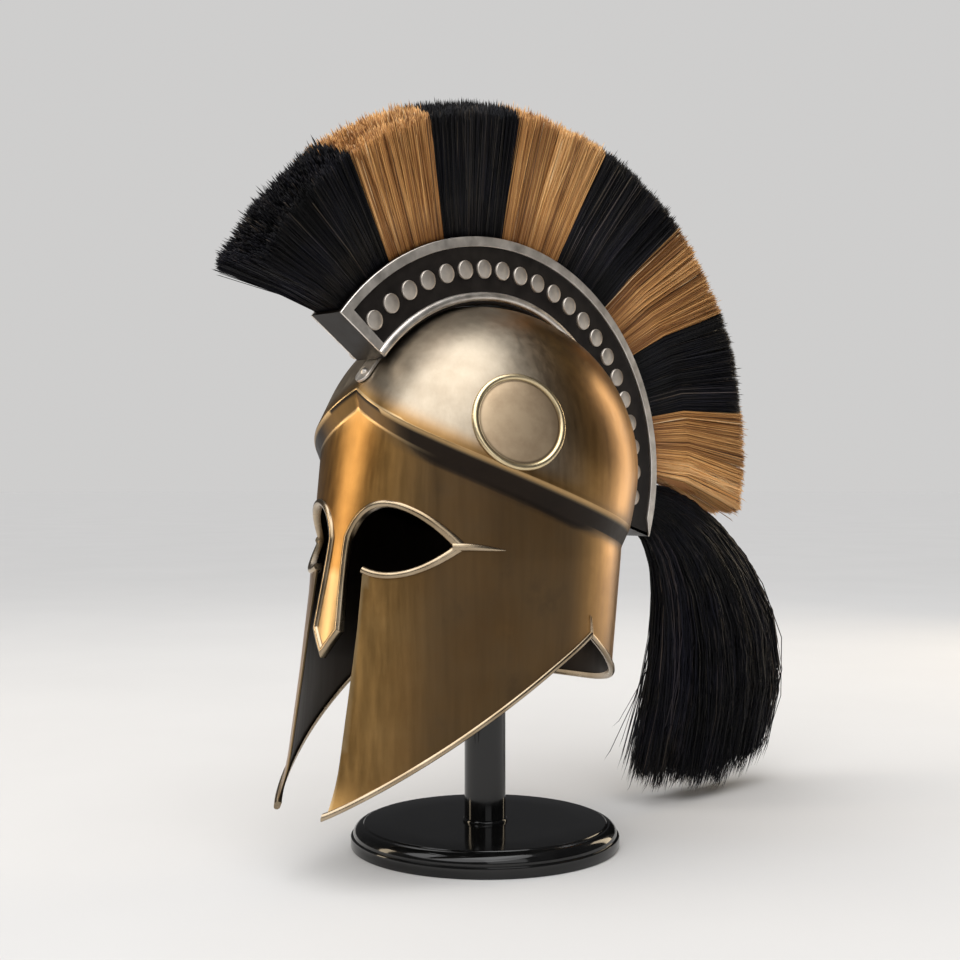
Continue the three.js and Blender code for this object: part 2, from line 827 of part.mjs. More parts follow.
function addPiece(name, solid, finish) {
  const mesh = solid.getMesh();
  const geometry = new THREE.BufferGeometry();
  const positions = new Float32Array(mesh.vertProperties);
  geometry.setAttribute("position", new THREE.BufferAttribute(positions, 3));
  geometry.setIndex(new THREE.BufferAttribute(new Uint32Array(mesh.triVerts), 1));
  geometry.computeVertexNormals();
  const piece = new THREE.Mesh(geometry, new THREE.MeshStandardMaterial(finishes[finish]));
  piece.name = name;
  helmet.add(piece);
}

const sides = [
  { name: "left", sign: 1 },
  { name: "right", sign: -1 },
];

addPiece("helmet_shell", helmetShell(), "bronze");
addPiece("face_trim", faceTrimSolid(), "polishedBronze");
addPiece("neck_trim", neckTrim(), "polishedBronze");
addPiece("crest_box", crestBox(), "blackPanel");
addPiece("crest_bracket", crestBracket(), "steel");
addPiece("bracket_rivet", bracketRivet(), "steel");
for (const { name, sign } of sides) {
  addPiece("cheek_trim_" + name, cheekTrim(sign), "polishedBronze");
  addPiece("temple_disc_" + name, templeDisc(sign), "bronze");
  addPiece("crest_frame_" + name, crestFrame(sign), "steel");
  for (let i = 0; i < studs.separate; i++) {
    const number = String(i + 1).padStart(2, "0");
    const stud = studSolid(sign, i, crest.halfWidth + gap, studs.height);
    addPiece("stud_" + name + "_" + number, stud, "steel");
  }
}
tufts.forEach((tuft, i) => addPiece("hair_tuft_" + (i + 1), tuftSolid(tuft, i), tuft.colour));
addPiece("hair_tail", tailSolid(), "blackHair");
addPiece("stand_base", standBase(), "blackGloss");
addPiece("stand_post", standPost(), "blackGloss");
addPiece("head_rest", headRestSolid(), "blackGloss");

export default helmet;
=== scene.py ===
import math

import bpy
import numpy as np
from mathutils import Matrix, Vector


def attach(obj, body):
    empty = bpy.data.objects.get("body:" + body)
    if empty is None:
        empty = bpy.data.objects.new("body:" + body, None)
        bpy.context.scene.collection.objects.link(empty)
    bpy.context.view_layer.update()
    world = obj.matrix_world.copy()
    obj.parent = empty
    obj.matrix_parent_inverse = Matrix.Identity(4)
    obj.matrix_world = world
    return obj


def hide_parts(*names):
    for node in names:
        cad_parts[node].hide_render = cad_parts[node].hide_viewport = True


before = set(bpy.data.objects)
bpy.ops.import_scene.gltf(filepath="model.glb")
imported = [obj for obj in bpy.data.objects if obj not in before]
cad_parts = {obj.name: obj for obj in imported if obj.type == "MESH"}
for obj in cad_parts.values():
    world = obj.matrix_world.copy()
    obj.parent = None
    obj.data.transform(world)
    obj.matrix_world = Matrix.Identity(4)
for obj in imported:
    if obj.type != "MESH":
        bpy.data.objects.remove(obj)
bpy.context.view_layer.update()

mm = 0.001
bowlY = -5.5  # the bowl's upright axis, behind the middle of the face


def mix(a, b, t):
    return a + (b - a) * t


def between(rows, value):  # rows of (position, size), in rising order
    return float(np.interp(value, [r[0] for r in rows], [r[1] for r in rows]))


def deselectAll():
    if bpy.context.object and bpy.context.object.mode != "OBJECT":
        bpy.ops.object.mode_set(mode="OBJECT")
    bpy.ops.object.select_all(action="DESELECT")


def pick(*objects):
    deselectAll()
    for o in objects:
        o.select_set(True)
    bpy.context.view_layer.objects.active = objects[0]


def layGrid(name, columns, rows, place):
    # a grid whose points are laid on a surface: place(across, along) gives millimetres
    deselectAll()
    bpy.ops.mesh.primitive_grid_add(x_subdivisions=columns, y_subdivisions=rows, size=1)
    grid = bpy.context.object
    grid.name = name
    for v in grid.data.vertices:
        v.co = Vector(place(v.co.x + 0.5, v.co.y + 0.5)) * mm
    return grid


def closeUp(piece, distance=0.01 * mm, fill=False):
    pick(piece)
    bpy.ops.object.mode_set(mode="EDIT")
    bpy.ops.mesh.select_all(action="SELECT")
    bpy.ops.mesh.remove_doubles(threshold=distance)
    if fill:
        bpy.ops.mesh.select_all(action="DESELECT")
        bpy.ops.mesh.select_non_manifold()
        bpy.ops.mesh.fill_holes(sides=0)
        bpy.ops.mesh.select_all(action="SELECT")
    bpy.ops.mesh.normals_make_consistent(inside=False)
    bpy.ops.object.mode_set(mode="OBJECT")
    return piece


def sweep(name, steps, section, at, closed=True):
    # a section carried along a line: at(t) gives the function that puts (a, b) into space
    loop = section + section[:1] if closed else section

    def place(across, along):
        a, b = loop[round(across * (len(loop) - 1))]
        return at(along)(a, b)

    return closeUp(layGrid(name, len(loop) - 1, steps, place), fill=True)


def applyModifier(piece, kind, **settings):
    pick(piece)
    modifier = piece.modifiers.new(kind.title(), kind)
    for key, value in settings.items():
        setattr(modifier, key, value)
    bpy.ops.object.modifier_apply(modifier=modifier.name)
    return piece


def smooth(piece, angle=35):
    pick(piece)
    bpy.ops.object.shade_smooth_by_angle(angle=math.radians(angle))
    return piece


def joinPieces(name, parts):
    pick(*parts)
    bpy.ops.object.join()
    piece = bpy.context.object
    piece.name = name
    return piece


def finishPiece(piece, material, slotName, *nodes):
    piece.data.materials.clear()
    piece.data.materials.append(material)
    piece.data.name = piece.name
    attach(piece, "root")
    if nodes:
        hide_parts(*nodes)
    return piece


def spinProfile(name, profile, steps):
    # a profile of (radius, height) points turned round the upright axis
    mesh = bpy.data.meshes.new(name)
    points = [(r * mm, 0, z * mm) for r, z in profile]
    mesh.from_pydata(points, [(i, i + 1) for i in range(len(points) - 1)], [])
    piece = bpy.data.objects.new(name, mesh)
    bpy.context.scene.collection.objects.link(piece)
    pick(piece)
    bpy.ops.object.mode_set(mode="EDIT")
    bpy.ops.mesh.select_all(action="SELECT")
    bpy.ops.mesh.spin(steps=steps, angle=math.tau, center=(0, 0, 0), axis=(0, 0, 1))
    bpy.ops.object.mode_set(mode="OBJECT")
    return closeUp(piece)


# ---- materials ----

def newMaterial(name):
    material = bpy.data.materials.new(name)
    material.use_nodes = True
    nodes = material.node_tree.nodes
    return material, nodes, material.node_tree.links, nodes["Principled BSDF"]


def noiseAt(nodes, links, scale, stretch=(1, 1, 1), detail=4, roughness=0.6):
    coords = nodes.new("ShaderNodeTexCoord")
    mapping = nodes.new("ShaderNodeMapping")
    mapping.inputs["Scale"].default_value = stretch
    noise = nodes.new("ShaderNodeTexNoise")
    noise.inputs["Scale"].default_value = scale
    noise.inputs["Detail"].default_value = detail
    noise.inputs["Roughness"].default_value = roughness
    links.new(coords.outputs["Object"], mapping.inputs["Vector"])
    links.new(mapping.outputs["Vector"], noise.inputs["Vector"])
    return noise.outputs["Fac"]


def ramp(nodes, links, source, stops):
    node = nodes.new("ShaderNodeValToRGB")
    elements = node.color_ramp.elements
    while len(elements) < len(stops):
        elements.new(0.5)
    for element, (position, colour) in zip(elements, stops):
        element.position = position
        element.color = (*colour, 1) if len(colour) == 3 else colour
    links.new(source, node.inputs["Fac"])
    return node.outputs["Color"]


def mapRange(nodes, links, source, low, high, fromLow=0, fromHigh=1):
    node = nodes.new("ShaderNodeMapRange")
    node.inputs["From Min"].default_value = fromLow
    node.inputs["From Max"].default_value = fromHigh
    node.inputs["To Min"].default_value = low
    node.inputs["To Max"].default_value = high
    links.new(source, node.inputs["Value"])
    return node.outputs["Result"]


def blendColours(nodes, links, factor, a, b, mode="MIX"):
    node = nodes.new("ShaderNodeMix")
    node.data_type = "RGBA"
    node.blend_type = mode
    sockets = [s for s in node.inputs if s.enabled]
    for socket, value in zip(sockets, (factor, a, b)):
        if isinstance(value, (int, float)):
            socket.default_value = value
        elif isinstance(value, tuple):
            socket.default_value = (*value, 1)
        else:
            links.new(value, socket)
    return [s for s in node.outputs if s.enabled][0]


def attribute(nodes, name):
    node = nodes.new("ShaderNodeAttribute")
    node.attribute_name = name
    return node.outputs["Fac"]


def bump(nodes, links, shader, height, strength, distance):
    node = nodes.new("ShaderNodeBump")
    node.inputs["Strength"].default_value = strength
    node.inputs["Distance"].default_value = distance
    links.new(height, node.inputs["Height"])
    links.new(node.outputs["Normal"], shader.inputs["Normal"])
    return node


bronze = {  # colours of the metal, of what time has done to it, and of the painted shade and painted highlights put on it
    "light": (0.46, 0.27, 0.095), "mid": (0.38, 0.21, 0.066), "dark": (0.25, 0.13, 0.038),
    "dome": (0.43, 0.365, 0.28), "brown": (0.062, 0.040, 0.021), "black": (0.014, 0.008, 0.004), "edge": (0.62, 0.47, 0.27),
    "trimLight": (0.47, 0.375, 0.26), "trimDark": (0.32, 0.24, 0.15), "discField": (0.50, 0.385, 0.26),
    "discRing": (0.72, 0.60, 0.38), "brushLow": 0.9, "brushHigh": 1.07, "roughLow": 0.28, "roughHigh": 0.37,
    "patinaShadeRough": 0.14, "domeRough": 0.07,
}


def sumOf(nodes, links, a, share, b):  # a * share + b
    node = nodes.new("ShaderNodeMath")
    node.operation = "MULTIPLY_ADD"
    node.use_clamp = True
    node.inputs[1].default_value = share
    links.new(a, node.inputs[0])
    if isinstance(b, (int, float)):
        node.inputs[2].default_value = b
    else:
        links.new(b, node.inputs[2])
    return node.outputs[0]


def bronzeMaterial():
    material, nodes, links, shader = newMaterial("antiqueBronze")
    clouds = noiseAt(nodes, links, 9, stretch=(1, 1, 0.6), detail=5, roughness=0.55)
    stains = noiseAt(nodes, links, 24, detail=6, roughness=0.6)
    strokes = noiseAt(nodes, links, 1, stretch=(210, 210, 11), detail=4, roughness=0.6)
    grain = noiseAt(nodes, links, 520, detail=2)
    patinaShadeMask, pale, rim = (attribute(nodes, key) for key in ("patinaAndShade", "dome", "rim"))
    base = ramp(nodes, links, clouds, [(0.32, bronze["dark"]), (0.5, bronze["mid"]), (0.68, bronze["light"])])
    # the paler bowl: partly its own paler tone, partly painted cool light on its front and sides
    base = blendColours(nodes, links, pale, base, bronze["dome"])
    # the patina mask also carries painted shade: brown to black on the ledge band, under it and inside the shell
    patchy = sumOf(nodes, links, stains, 0.5, sumOf(nodes, links, patinaShadeMask, 1.35, -0.25))
    patinaShadeColour = ramp(nodes, links, patinaShadeMask, [(0.6, bronze["brown"]), (0.9, bronze["black"])])
    cover = blendColours(nodes, links, sumOf(nodes, links, patinaShadeMask, 4, 0), (0, 0, 0), patchy)
    base = blendColours(nodes, links, cover, base, patinaShadeColour)
    low, high = bronze["brushLow"], bronze["brushHigh"]
    brushed = ramp(nodes, links, strokes, [(0.3, (low, low, low)), (0.7, (high, high, high))])
    base = blendColours(nodes, links, 1.0, base, brushed, "MULTIPLY")
    mottled = ramp(nodes, links, stains, [(0.38, (0.72, 0.69, 0.66)), (0.56, (1, 1, 1))])
    base = blendColours(nodes, links, 0.7, base, mottled, "MULTIPLY")
    # the rim values brighten to the edge colour: polished wear on the lip and cut edges, and painted highlights along
    # the front of the lip and below the wall top
    base = blendColours(nodes, links, rim, base, bronze["edge"])
    links.new(base, shader.inputs["Base Color"])
    links.new(mapRange(nodes, links, patinaShadeMask, 1, 0.75), shader.inputs["Metallic"])
    rough = mapRange(nodes, links, strokes, bronze["roughLow"], bronze["roughHigh"], 0.3, 0.7)
    rough = sumOf(nodes, links, pale, bronze["domeRough"], rough)
    links.new(sumOf(nodes, links, patinaShadeMask, bronze["patinaShadeRough"], rough), shader.inputs["Roughness"])
    bump(nodes, links, shader, grain, 0.03, 0.0002)
    return material


def trimMaterial():
    material, nodes, links, shader = newMaterial("polishedEdge")
    shader.inputs["Metallic"].default_value = 1
    clouds = noiseAt(nodes, links, 34, detail=4, roughness=0.55)
    wear = noiseAt(nodes, links, 240, detail=2)
    base = ramp(nodes, links, clouds, [(0.34, bronze["trimDark"]), (0.62, bronze["trimLight"])])
    # the bead's sunk inner return is blended to black as painted shade
    base = blendColours(nodes, links, attribute(nodes, "patinaAndShade"), base, bronze["black"])
    links.new(base, shader.inputs["Base Color"])
    links.new(mapRange(nodes, links, clouds, 0.2, 0.3, 0.3, 0.7), shader.inputs["Roughness"])
    bump(nodes, links, shader, wear, 0.015, 0.0002)
    return material


def discMaterial():
    material, nodes, links, shader = newMaterial("discBronze")
    shader.inputs["Metallic"].default_value = 1
    clouds = noiseAt(nodes, links, 60, detail=5, roughness=0.6)
    ring = attribute(nodes, "rim")
    base = blendColours(nodes, links, ring, bronze["discField"], bronze["discRing"])
    base = blendColours(nodes, links, attribute(nodes, "patinaAndShade"), base, bronze["brown"])
    stain = ramp(nodes, links, clouds, [(0.35, (0.84, 0.8, 0.76)), (0.6, (1.03, 1.02, 1))])
    base = blendColours(nodes, links, 1.0, base, stain, "MULTIPLY")
    links.new(base, shader.inputs["Base Color"])
    links.new(mapRange(nodes, links, ring, 0.52, 0.3), shader.inputs["Roughness"])
    bump(nodes, links, shader, clouds, 0.02, 0.0002)
    return material


bronzeDark = bronzeMaterial()
bronzeEdge = trimMaterial()
bronzeDisc = discMaterial()


def steelMaterial(name, dark, light, roughLow, roughHigh):
    material, nodes, links, shader = newMaterial(name)
    shader.inputs["Metallic"].default_value = 1
    strokes = noiseAt(nodes, links, 1, stretch=(320, 90, 90), detail=4, roughness=0.6)
    clouds = noiseAt(nodes, links, 45, detail=4)
    base = ramp(nodes, links, strokes, [(0.3, dark), (0.65, light)])
    stain = ramp(nodes, links, clouds, [(0.35, (0.85, 0.83, 0.81)), (0.6, (1, 1, 1))])
    base = blendColours(nodes, links, 0.6, base, stain, "MULTIPLY")
    links.new(base, shader.inputs["Base Color"])
    links.new(mapRange(nodes, links, strokes, roughLow, roughHigh, 0.3, 0.7), shader.inputs["Roughness"])
    bump(nodes, links, shader, strokes, 0.04, 0.0002)
    return material


def blackMaterial(name, colour, roughLow, roughHigh, scale, specular=0.5):
    material, nodes, links, shader = newMaterial(name)
    clouds = noiseAt(nodes, links, scale, detail=6, roughness=0.7)
    lighter = tuple(1.8 * c + 0.002 for c in colour)
    base = ramp(nodes, links, clouds, [(0.35, colour), (0.7, lighter)])
    links.new(base, shader.inputs["Base Color"])
    links.new(mapRange(nodes, links, clouds, roughLow, roughHigh, 0.35, 0.7), shader.inputs["Roughness"])
    shader.inputs["Specular IOR Level"].default_value = specular
    bump(nodes, links, shader, clouds, 0.03, 0.0002)
    return material


def hairMaterial(name, look):
    material, nodes, links, shader = newMaterial(name)
    shade = attribute(nodes, "strandShade")
    along = attribute(nodes, "alongHair")
    dark, light = look["dark"], look["light"]
    middle = tuple(mix(a, b, 0.42) for a, b in zip(dark, light))
    # the darkest tones: partly real dark hairs, partly painted shade in the gaps between locks
    stops = [(0.0, look["gap"]), (0.14, dark), (0.5, middle), (0.9, light), (1.0, look["odd"])]
    base = ramp(nodes, links, shade, stops)
    # painted shade at the roots and a painted highlight at the tips
    rootShadeTipHighlight = ramp(nodes, links, along, [(0.0, look["root"]), (0.28, (1, 1, 1)), (0.9, (1, 1, 1)), (1.0, look["tip"])])
    base = blendColours(nodes, links, 1.0, base, rootShadeTipHighlight, "MULTIPLY")
    tint = ramp(nodes, links, noiseAt(nodes, links, 22, detail=3), [(0.4, (1, 1, 1)), (0.65, look["tint"])])
    base = blendColours(nodes, links, 1.0, base, tint, "MULTIPLY")
    links.new(base, shader.inputs["Base Color"])
    shader.inputs["Roughness"].default_value = look["roughness"]
    shader.inputs["Specular IOR Level"].default_value = look["specular"]
    return material


steel = steelMaterial("brushedSteel", (0.66, 0.615, 0.56), (0.9, 0.85, 0.79), 0.34, 0.48)
studMetal = steelMaterial("dullStud", (0.62, 0.565, 0.50), (0.76, 0.70, 0.63), 0.45, 0.55)
crestBlack = blackMaterial("crestBlack", (0.0085, 0.0065, 0.0055), 0.34, 0.5, 70, specular=0.22)
lacquer = blackMaterial("blackLacquer", (0.003, 0.003, 0.003), 0.07, 0.16, 60, specular=0.5)
tanHair = hairMaterial("tanHair", {
    "gap": (0.12, 0.055, 0.02), "dark": (0.30, 0.125, 0.035), "light": (0.92, 0.52, 0.19), "odd": (0.98, 0.74, 0.44),
    "root": (0.6, 0.5, 0.42), "tip": (1.06, 1.04, 1.02), "tint": (0.9, 0.84, 0.76), "roughness": 0.5, "specular": 0.35})
blackHair = hairMaterial("blackHair", {
    "gap": (0.0015, 0.0015, 0.0015), "dark": (0.0018, 0.0018, 0.002), "light": (0.013, 0.0126, 0.0145),
    "odd": (0.09, 0.07, 0.05), "root": (0.45, 0.45, 0.45), "tip": (1.5, 1.5, 1.55), "tint": (0.85, 0.9, 1.35),
    "roughness": 0.5, "specular": 0.16})
print("materials made")


# ---- the bronze shell ----

shell = {
    "side": 101, "reach": 120, "height": 112.5, "z": 259.5,
    "browLip": 311.3, "napeLip": 213, "lipBend": 1.95, "browFlare": 2.8, "sideFlare": 1.8, "flareHeight": 24,
    "ledge": 13, "lipRound": 0.9, "wallRound": 1.6, "sheet": 1.6,
    "faceReach": 107.7, "faceZ": 296, "lean": 0.192, "square": 0.25, "squareFrom": 180, "squareTo": 280,
    "flickBelow": 80, "flick": 0.005,
    "wallSide": [(40, 87), (130, 87), (202, 92), (300, 94)],
    "wallBack": [(40, 98), (130, 98), (202, 105), (300, 109)],
    "cheekTip": (-161, 45.5), "cheekBulge": 2.2, "notchAngle": 102, "notchZ": 148.5,
    "napeY": 94, "napeZ": 107.5, "napeBend": 1.3, "napeFlare": 1.5, "napeFlareHeight": 16,
    "columns": 240, "bowlRows": 56, "wallRows": 42,
}


def polarRadius(theta, side, reach, power):
    return (abs(math.sin(theta) / side) ** power + abs(math.cos(theta) / reach) ** power) ** (-1 / power)


def onShell(theta, radius, z):
    return Vector((radius * math.sin(theta), bowlY - radius * math.cos(theta), z))


def lipHeight(theta):
    return mix(shell["napeLip"], shell["browLip"], (1 - abs(theta) / math.pi) ** shell["lipBend"])


def bowlRadius(theta, z):
    level = math.sqrt(max(0, 1 - ((z - shell["z"]) / shell["height"]) ** 2))
    flare = mix(shell["sideFlare"], shell["browFlare"], math.cos(theta / 2) ** 8)
    low = max(0, 1 - (z - lipHeight(theta)) / shell["flareHeight"])
    return polarRadius(theta, shell["side"], shell["reach"], 2) * level + flare * low ** 2


def bowlPoint(theta, t):
    z = shell["z"] + shell["height"] * math.cos(t * math.acos((lipHeight(theta) - shell["z"]) / shell["height"]))
    return onShell(theta, bowlRadius(theta, z), z)


def wallRadius(theta, z):
    side = between(shell["wallSide"], z)
    if math.cos(theta) > 0:
        square = min(1, max(0, (z - shell["squareFrom"]) / (shell["squareTo"] - shell["squareFrom"])))
        flick = shell["flick"] * max(0, shell["flickBelow"] - z) ** 2
        reach = shell["faceReach"] + shell["lean"] * (shell["faceZ"] - z) + flick
        return polarRadius(theta, side, reach, 2 + shell["square"] * square)
    low = max(0, 1 - (z - shell["napeZ"]) / shell["napeFlareHeight"])
    flare = shell["napeFlare"] * low ** 2 * math.cos(theta) ** 2
    return polarRadius(theta, side, between(shell["wallBack"], z), 2) + flare


def wallPoint(theta, z):
    return onShell(theta, wallRadius(theta, z), z)


def hemHeight(theta):
    notch = math.radians(shell["notchAngle"])
    notchY = wallPoint(notch, shell["notchZ"]).y
    tipY, tipZ = shell["cheekTip"]

    def outline(y):
        if abs(theta) <= notch + 1e-6:
            s = (y - tipY) / (notchY - tipY)
            return mix(tipZ, shell["notchZ"], s) + 4 * shell["cheekBulge"] * s * (1 - s)
        s = min(1, max(0, (y - notchY) / (shell["napeY"] - notchY)))
        return mix(shell["napeZ"], shell["notchZ"], (1 - s) ** shell["napeBend"])

    low, high = 25, 200
    for _ in range(30):
        z = (low + high) / 2
        if z < outline(wallPoint(theta, z).y):
            low = z
        else:
            high = z
    return low


def wallNormal(theta, z):
    e = 0.01
    along = wallPoint(theta + e, z) - wallPoint(theta - e, z)
    up = wallPoint(theta, z + e) - wallPoint(theta, z - e)
    return along.cross(up).normalized()


def rounded(before, corner, after, radius, t):
    # a point of the small curve that softens a corner of the shell's section
    a = corner + (before - corner).normalized() * radius
    b = corner + (after - corner).normalized() * radius
    return a * (1 - t) ** 2 + corner * 2 * t * (1 - t) + b * t ** 2


def shellSection(theta):
    # the shell from the crown to the hem at one angle
    lip = lipHeight(theta)
    wallTop = lip - shell["ledge"]
    hem = hemHeight(theta) + 2.5
    edge, foot = bowlPoint(theta, 1), wallPoint(theta, wallTop)
    points = [bowlPoint(theta, 0.988 * i / shell["bowlRows"]) for i in range(shell["bowlRows"] + 1)]
    points += [rounded(bowlPoint(theta, 0.96), edge, foot, shell["lipRound"], t) for t in (0, 0.25, 0.5, 0.75, 1)]
    points += [edge.lerp(foot, t) for t in (0.3, 0.55, 0.8)]
    points += [rounded(edge, foot, wallPoint(theta, wallTop - 6), shell["wallRound"], t) for t in (0, 0.33, 0.67, 1)]
    for i in range(1, shell["wallRows"] + 1):
        points.append(wallPoint(theta, mix(wallTop - shell["wallRound"] - 1, hem, i / shell["wallRows"])))
    return points


def makeShell():
    columns = shell["columns"]
    sections = [shellSection(mix(-math.pi, math.pi, i / columns)) for i in range(columns)]
    sections.append(sections[0])
    last = len(sections[0]) - 1
    piece = layGrid(
        "helmetShell", columns, last,
        lambda across, along: sections[round(across * columns)][round(along * last)])
    closeUp(piece)
    applyModifier(piece, "SOLIDIFY", thickness=shell["sheet"] * mm, offset=-1, use_quality_normals=True)
    return piece


# ---- the openings of the face and their beads ----

faceCut = {
    "cheekCorner": (23.2, 196.8), "lowerPull": (50, 186), "outerCorner": (70, 211.3),
    "upperPullOut": (56, 239), "upperPullIn": (20, 252), "bridge": (7.6, 216.5),
    "waist": (8.3, 196), "heel": (11, 159), "tip": (0, 145),
    "slotMiddle": (24.8, 160), "slotFoot": (25.8, 20),
    "beadHalf": 2.3, "beadProud": 2.0, "beadDepth": 3.6, "spikeEnd": (83, 208.6), "spikeHalf": 2.8, "spikeProud": 2.6,
}


def bezier(points, steps):
    points = [Vector(p) for p in points]
    found = []
    for i in range(steps + 1):
        t, row = i / steps, points
        while len(row) > 1:
            row = [a.lerp(b, t) for a, b in zip(row, row[1:])]
        found.append(row[0])
    return found


def faceLines():
    # the left side's outline in the X Z plane, in runs between its sharp corners
    c = faceCut
    lower = bezier([c["cheekCorner"], c["lowerPull"], c["outerCorner"]], 22)
    upper = bezier([c["outerCorner"], c["upperPullOut"], c["upperPullIn"], c["bridge"]], 34)
    nose = bezier([c["bridge"], (7.2, 206), (8.4, 192), c["heel"]], 14)
    point = bezier([c["heel"], c["tip"]], 6)
    return lower, upper, nose, point


def wallAngle(x, z):
    # where the wall stands at a given X and height, on its front half
    low, high = -math.pi / 2, math.pi / 2
    for _ in range(32):
        theta = (low + high) / 2
        if wallRadius(theta, z) * math.sin(theta) < x:
            low = theta
        else:
            high = theta
    return low


def onFace(x, z, lift):
    theta = wallAngle(x, z)
    return wallPoint(theta, z) + wallNormal(theta, z) * lift


def cutPrism(outline, name):
    mesh = bpy.data.meshes.new(name)
    mesh.from_pydata([(x * mm, -0.22, z * mm) for x, z in outline], [], [list(range(len(outline)))])
    prism = bpy.data.objects.new(name, mesh)
    bpy.context.scene.collection.objects.link(prism)
    pick(prism)
    bpy.ops.object.mode_set(mode="EDIT")
    bpy.ops.mesh.select_all(action="SELECT")
    bpy.ops.mesh.extrude_region_move(TRANSFORM_OT_translate={"value": (0, 0.19, 0)})
    bpy.ops.object.mode_set(mode="OBJECT")
    return closeUp(prism)


def openFace(piece):
    lower, upper, nose, point = faceLines()
    left = [tuple(p) for p in lower + upper[1:] + nose[1:] + point[1:]]
    right = [(-x, z) for x, z in reversed(left)][1:]
    slot = [faceCut["slotFoot"], faceCut["slotMiddle"]]
    outline = left + right + [(-x, z) for x, z in reversed(slot)] + slot
    prism = cutPrism(outline, "faceOpening")
    applyModifier(piece, "BOOLEAN", operation="DIFFERENCE", object=prism, solver="EXACT")
    bpy.data.objects.remove(prism)


def beadRun(name, line, startMitre, endMitre, side):
    # a rounded bead with a deep inner return along one run of the outline
    c = faceCut
    w, h, d = c["beadHalf"], c["beadProud"], c["beadDepth"]
    crown = [(w * math.cos(turn), h * math.sin(turn)) for turn in np.linspace(math.pi, 0, 11)]
    section = [(-w, -d)] + crown + [(w, -d), (0, -d)]
    count = len(line)

    def at(t):
        i = round(t * (count - 1))
        here = line[i]
        along = (line[min(count - 1, i + 1)] - line[max(0, i - 1)]).normalized()
        across = Vector((-along.y, along.x))
        if i == 0 and startMitre:
            across = startMitre
        if i == count - 1 and endMitre:
            across = endMitre

        def put(a, b):
            spot = here + across * a
            return onFace(side * spot.x, spot.y, b)
        return put

    return sweep(name, count - 1, section, at)


def mitreAt(before, corner, after):
    a, b = (corner - before).normalized(), (after - corner).normalized()
    bisector = Vector((-a.y - b.y, a.x + b.x)).normalized()
    return bisector / max(0.4, bisector.dot(Vector((-a.y, a.x))))


def makeFaceTrim():
    lower, upper, nose, point = faceLines()
    outer = mitreAt(lower[-2], lower[-1], upper[1])
    heel = mitreAt(nose[-2], nose[-1], point[1])
    tip = mitreAt(point[-2], point[-1], Vector((-point[-2].x, point[-2].y)))
    parts = []
    for side in (1, -1):
        parts.append(beadRun("lowerBead", lower, None, outer, side))
        parts.append(beadRun("upperBead", upper + nose[1:], outer, heel, side))
        parts.append(beadRun("noseBead", point, heel, tip, side))
        corner, end = Vector(faceCut["outerCorner"]), Vector(faceCut["spikeEnd"])

        def at(t, side=side, corner=corner, end=end):
            here = (corner - Vector((3, 0))).lerp(end, t) + Vector((0, 0.8 * math.sin(math.pi * t)))
            slim = max(0, 1 - t ** 2.2) ** 0.8

            def put(a, b):
                spot = here + Vector((0, (faceCut["spikeHalf"] * slim + 0.15) * a))
                return onFace(side * spot.x, spot.y, b * (faceCut["spikeProud"] * slim + 0.2))
            return put
        section = [(-1, -0.4), (-0.92, 0.35), (-0.6, 0.8), (0, 1), (0.6, 0.8), (0.92, 0.35), (1, -0.4)]
        parts.append(sweep("spike", 16, section, at))
    piece = joinPieces("faceTrim", parts)
    closeUp(piece, 0.0001 * mm)
    return smooth(piece, 50)


# ---- the beads of the hem ----

hemBeads = {"height": 4.6, "proud": 1.5, "inside": 1.1, "cheekStart": 8.6, "prongHeight": 11, "prongLean": 3}


def hemSection(share=1):
    h, p = hemBeads["height"], hemBeads["proud"]
    back = -shell["sheet"] - hemBeads["inside"]
    points = [(back, 0.3 * h), (0.6 * back, 0.06 * h), (0, 0), (0.6 * p, 0.08 * h), (p, 0.32 * h),
              (p, 0.68 * h), (0.6 * p, 0.92 * h), (0.1 * p, h), (back, h), (back, 0.65 * h)]
    return [(share * a, b) for a, b in points]


def hemRun(name, fromAngle, toAngle, steps, taperStart=False):
    def at(t):
        theta = math.radians(mix(fromAngle, toAngle, t))
        low = hemHeight(theta)

        def put(a, b):
            z = low + b
            return wallPoint(theta, z) + wallNormal(theta, z) * a
        return put
    return sweep(name, steps, hemSection(), at)


def makeCheekTrim(side, name):
    start = hemBeads["cheekStart"]
    piece = hemRun(name, side * start, side * (shell["notchAngle"] - 0.2), 110)
    return smooth(piece, 50)


def makeNeckTrim():
    start = shell["notchAngle"] + 0.2
    parts = [hemRun("neckBead", start, 360 - start, 130)]
    for side in (1, -1):
        for shift in (-0.9, 0.9):
            theta = side * math.radians(start + 0.4 + 0.55 * shift)
            across = Vector((math.cos(theta), math.sin(theta), 0))

            def at(t, theta=theta, across=across, side=side):
                z = hemHeight(theta) + mix(0.5 * hemBeads["height"], hemBeads["height"] + hemBeads["prongHeight"], t)
                foot = wallPoint(theta, z) - across * side * hemBeads["prongLean"] * t ** 1.3

                def put(a, b):
                    return foot + across * a * (1 - 0.85 * t) + wallNormal(theta, z) * b * (1 - 0.5 * t)
                return put
            parts.append(sweep("prong", 8, [(-0.75, -0.2), (-0.45, 0.75), (0.45, 0.75), (0.75, -0.2)], at))
    return smooth(joinPieces("neckTrim", parts), 50)


# ---- the discs at the temples ----

discs = {
    "x": 87.6, "y": -53.7, "z": 289.5, "radius": 31.8, "segments": 96,
    "profile": [  # distance from the middle and height over the bowl
        (0, 1.2), (4, 1.2), (8, 1.2), (14, 1.2), (20, 1.2), (25.5, 1.15), (26.8, 0.8), (27.6, 0.9)],
    "ring": (29.6, 2.1, 1.95), "foot": 0.15,  # the raised ring's middle line, half width and height
}


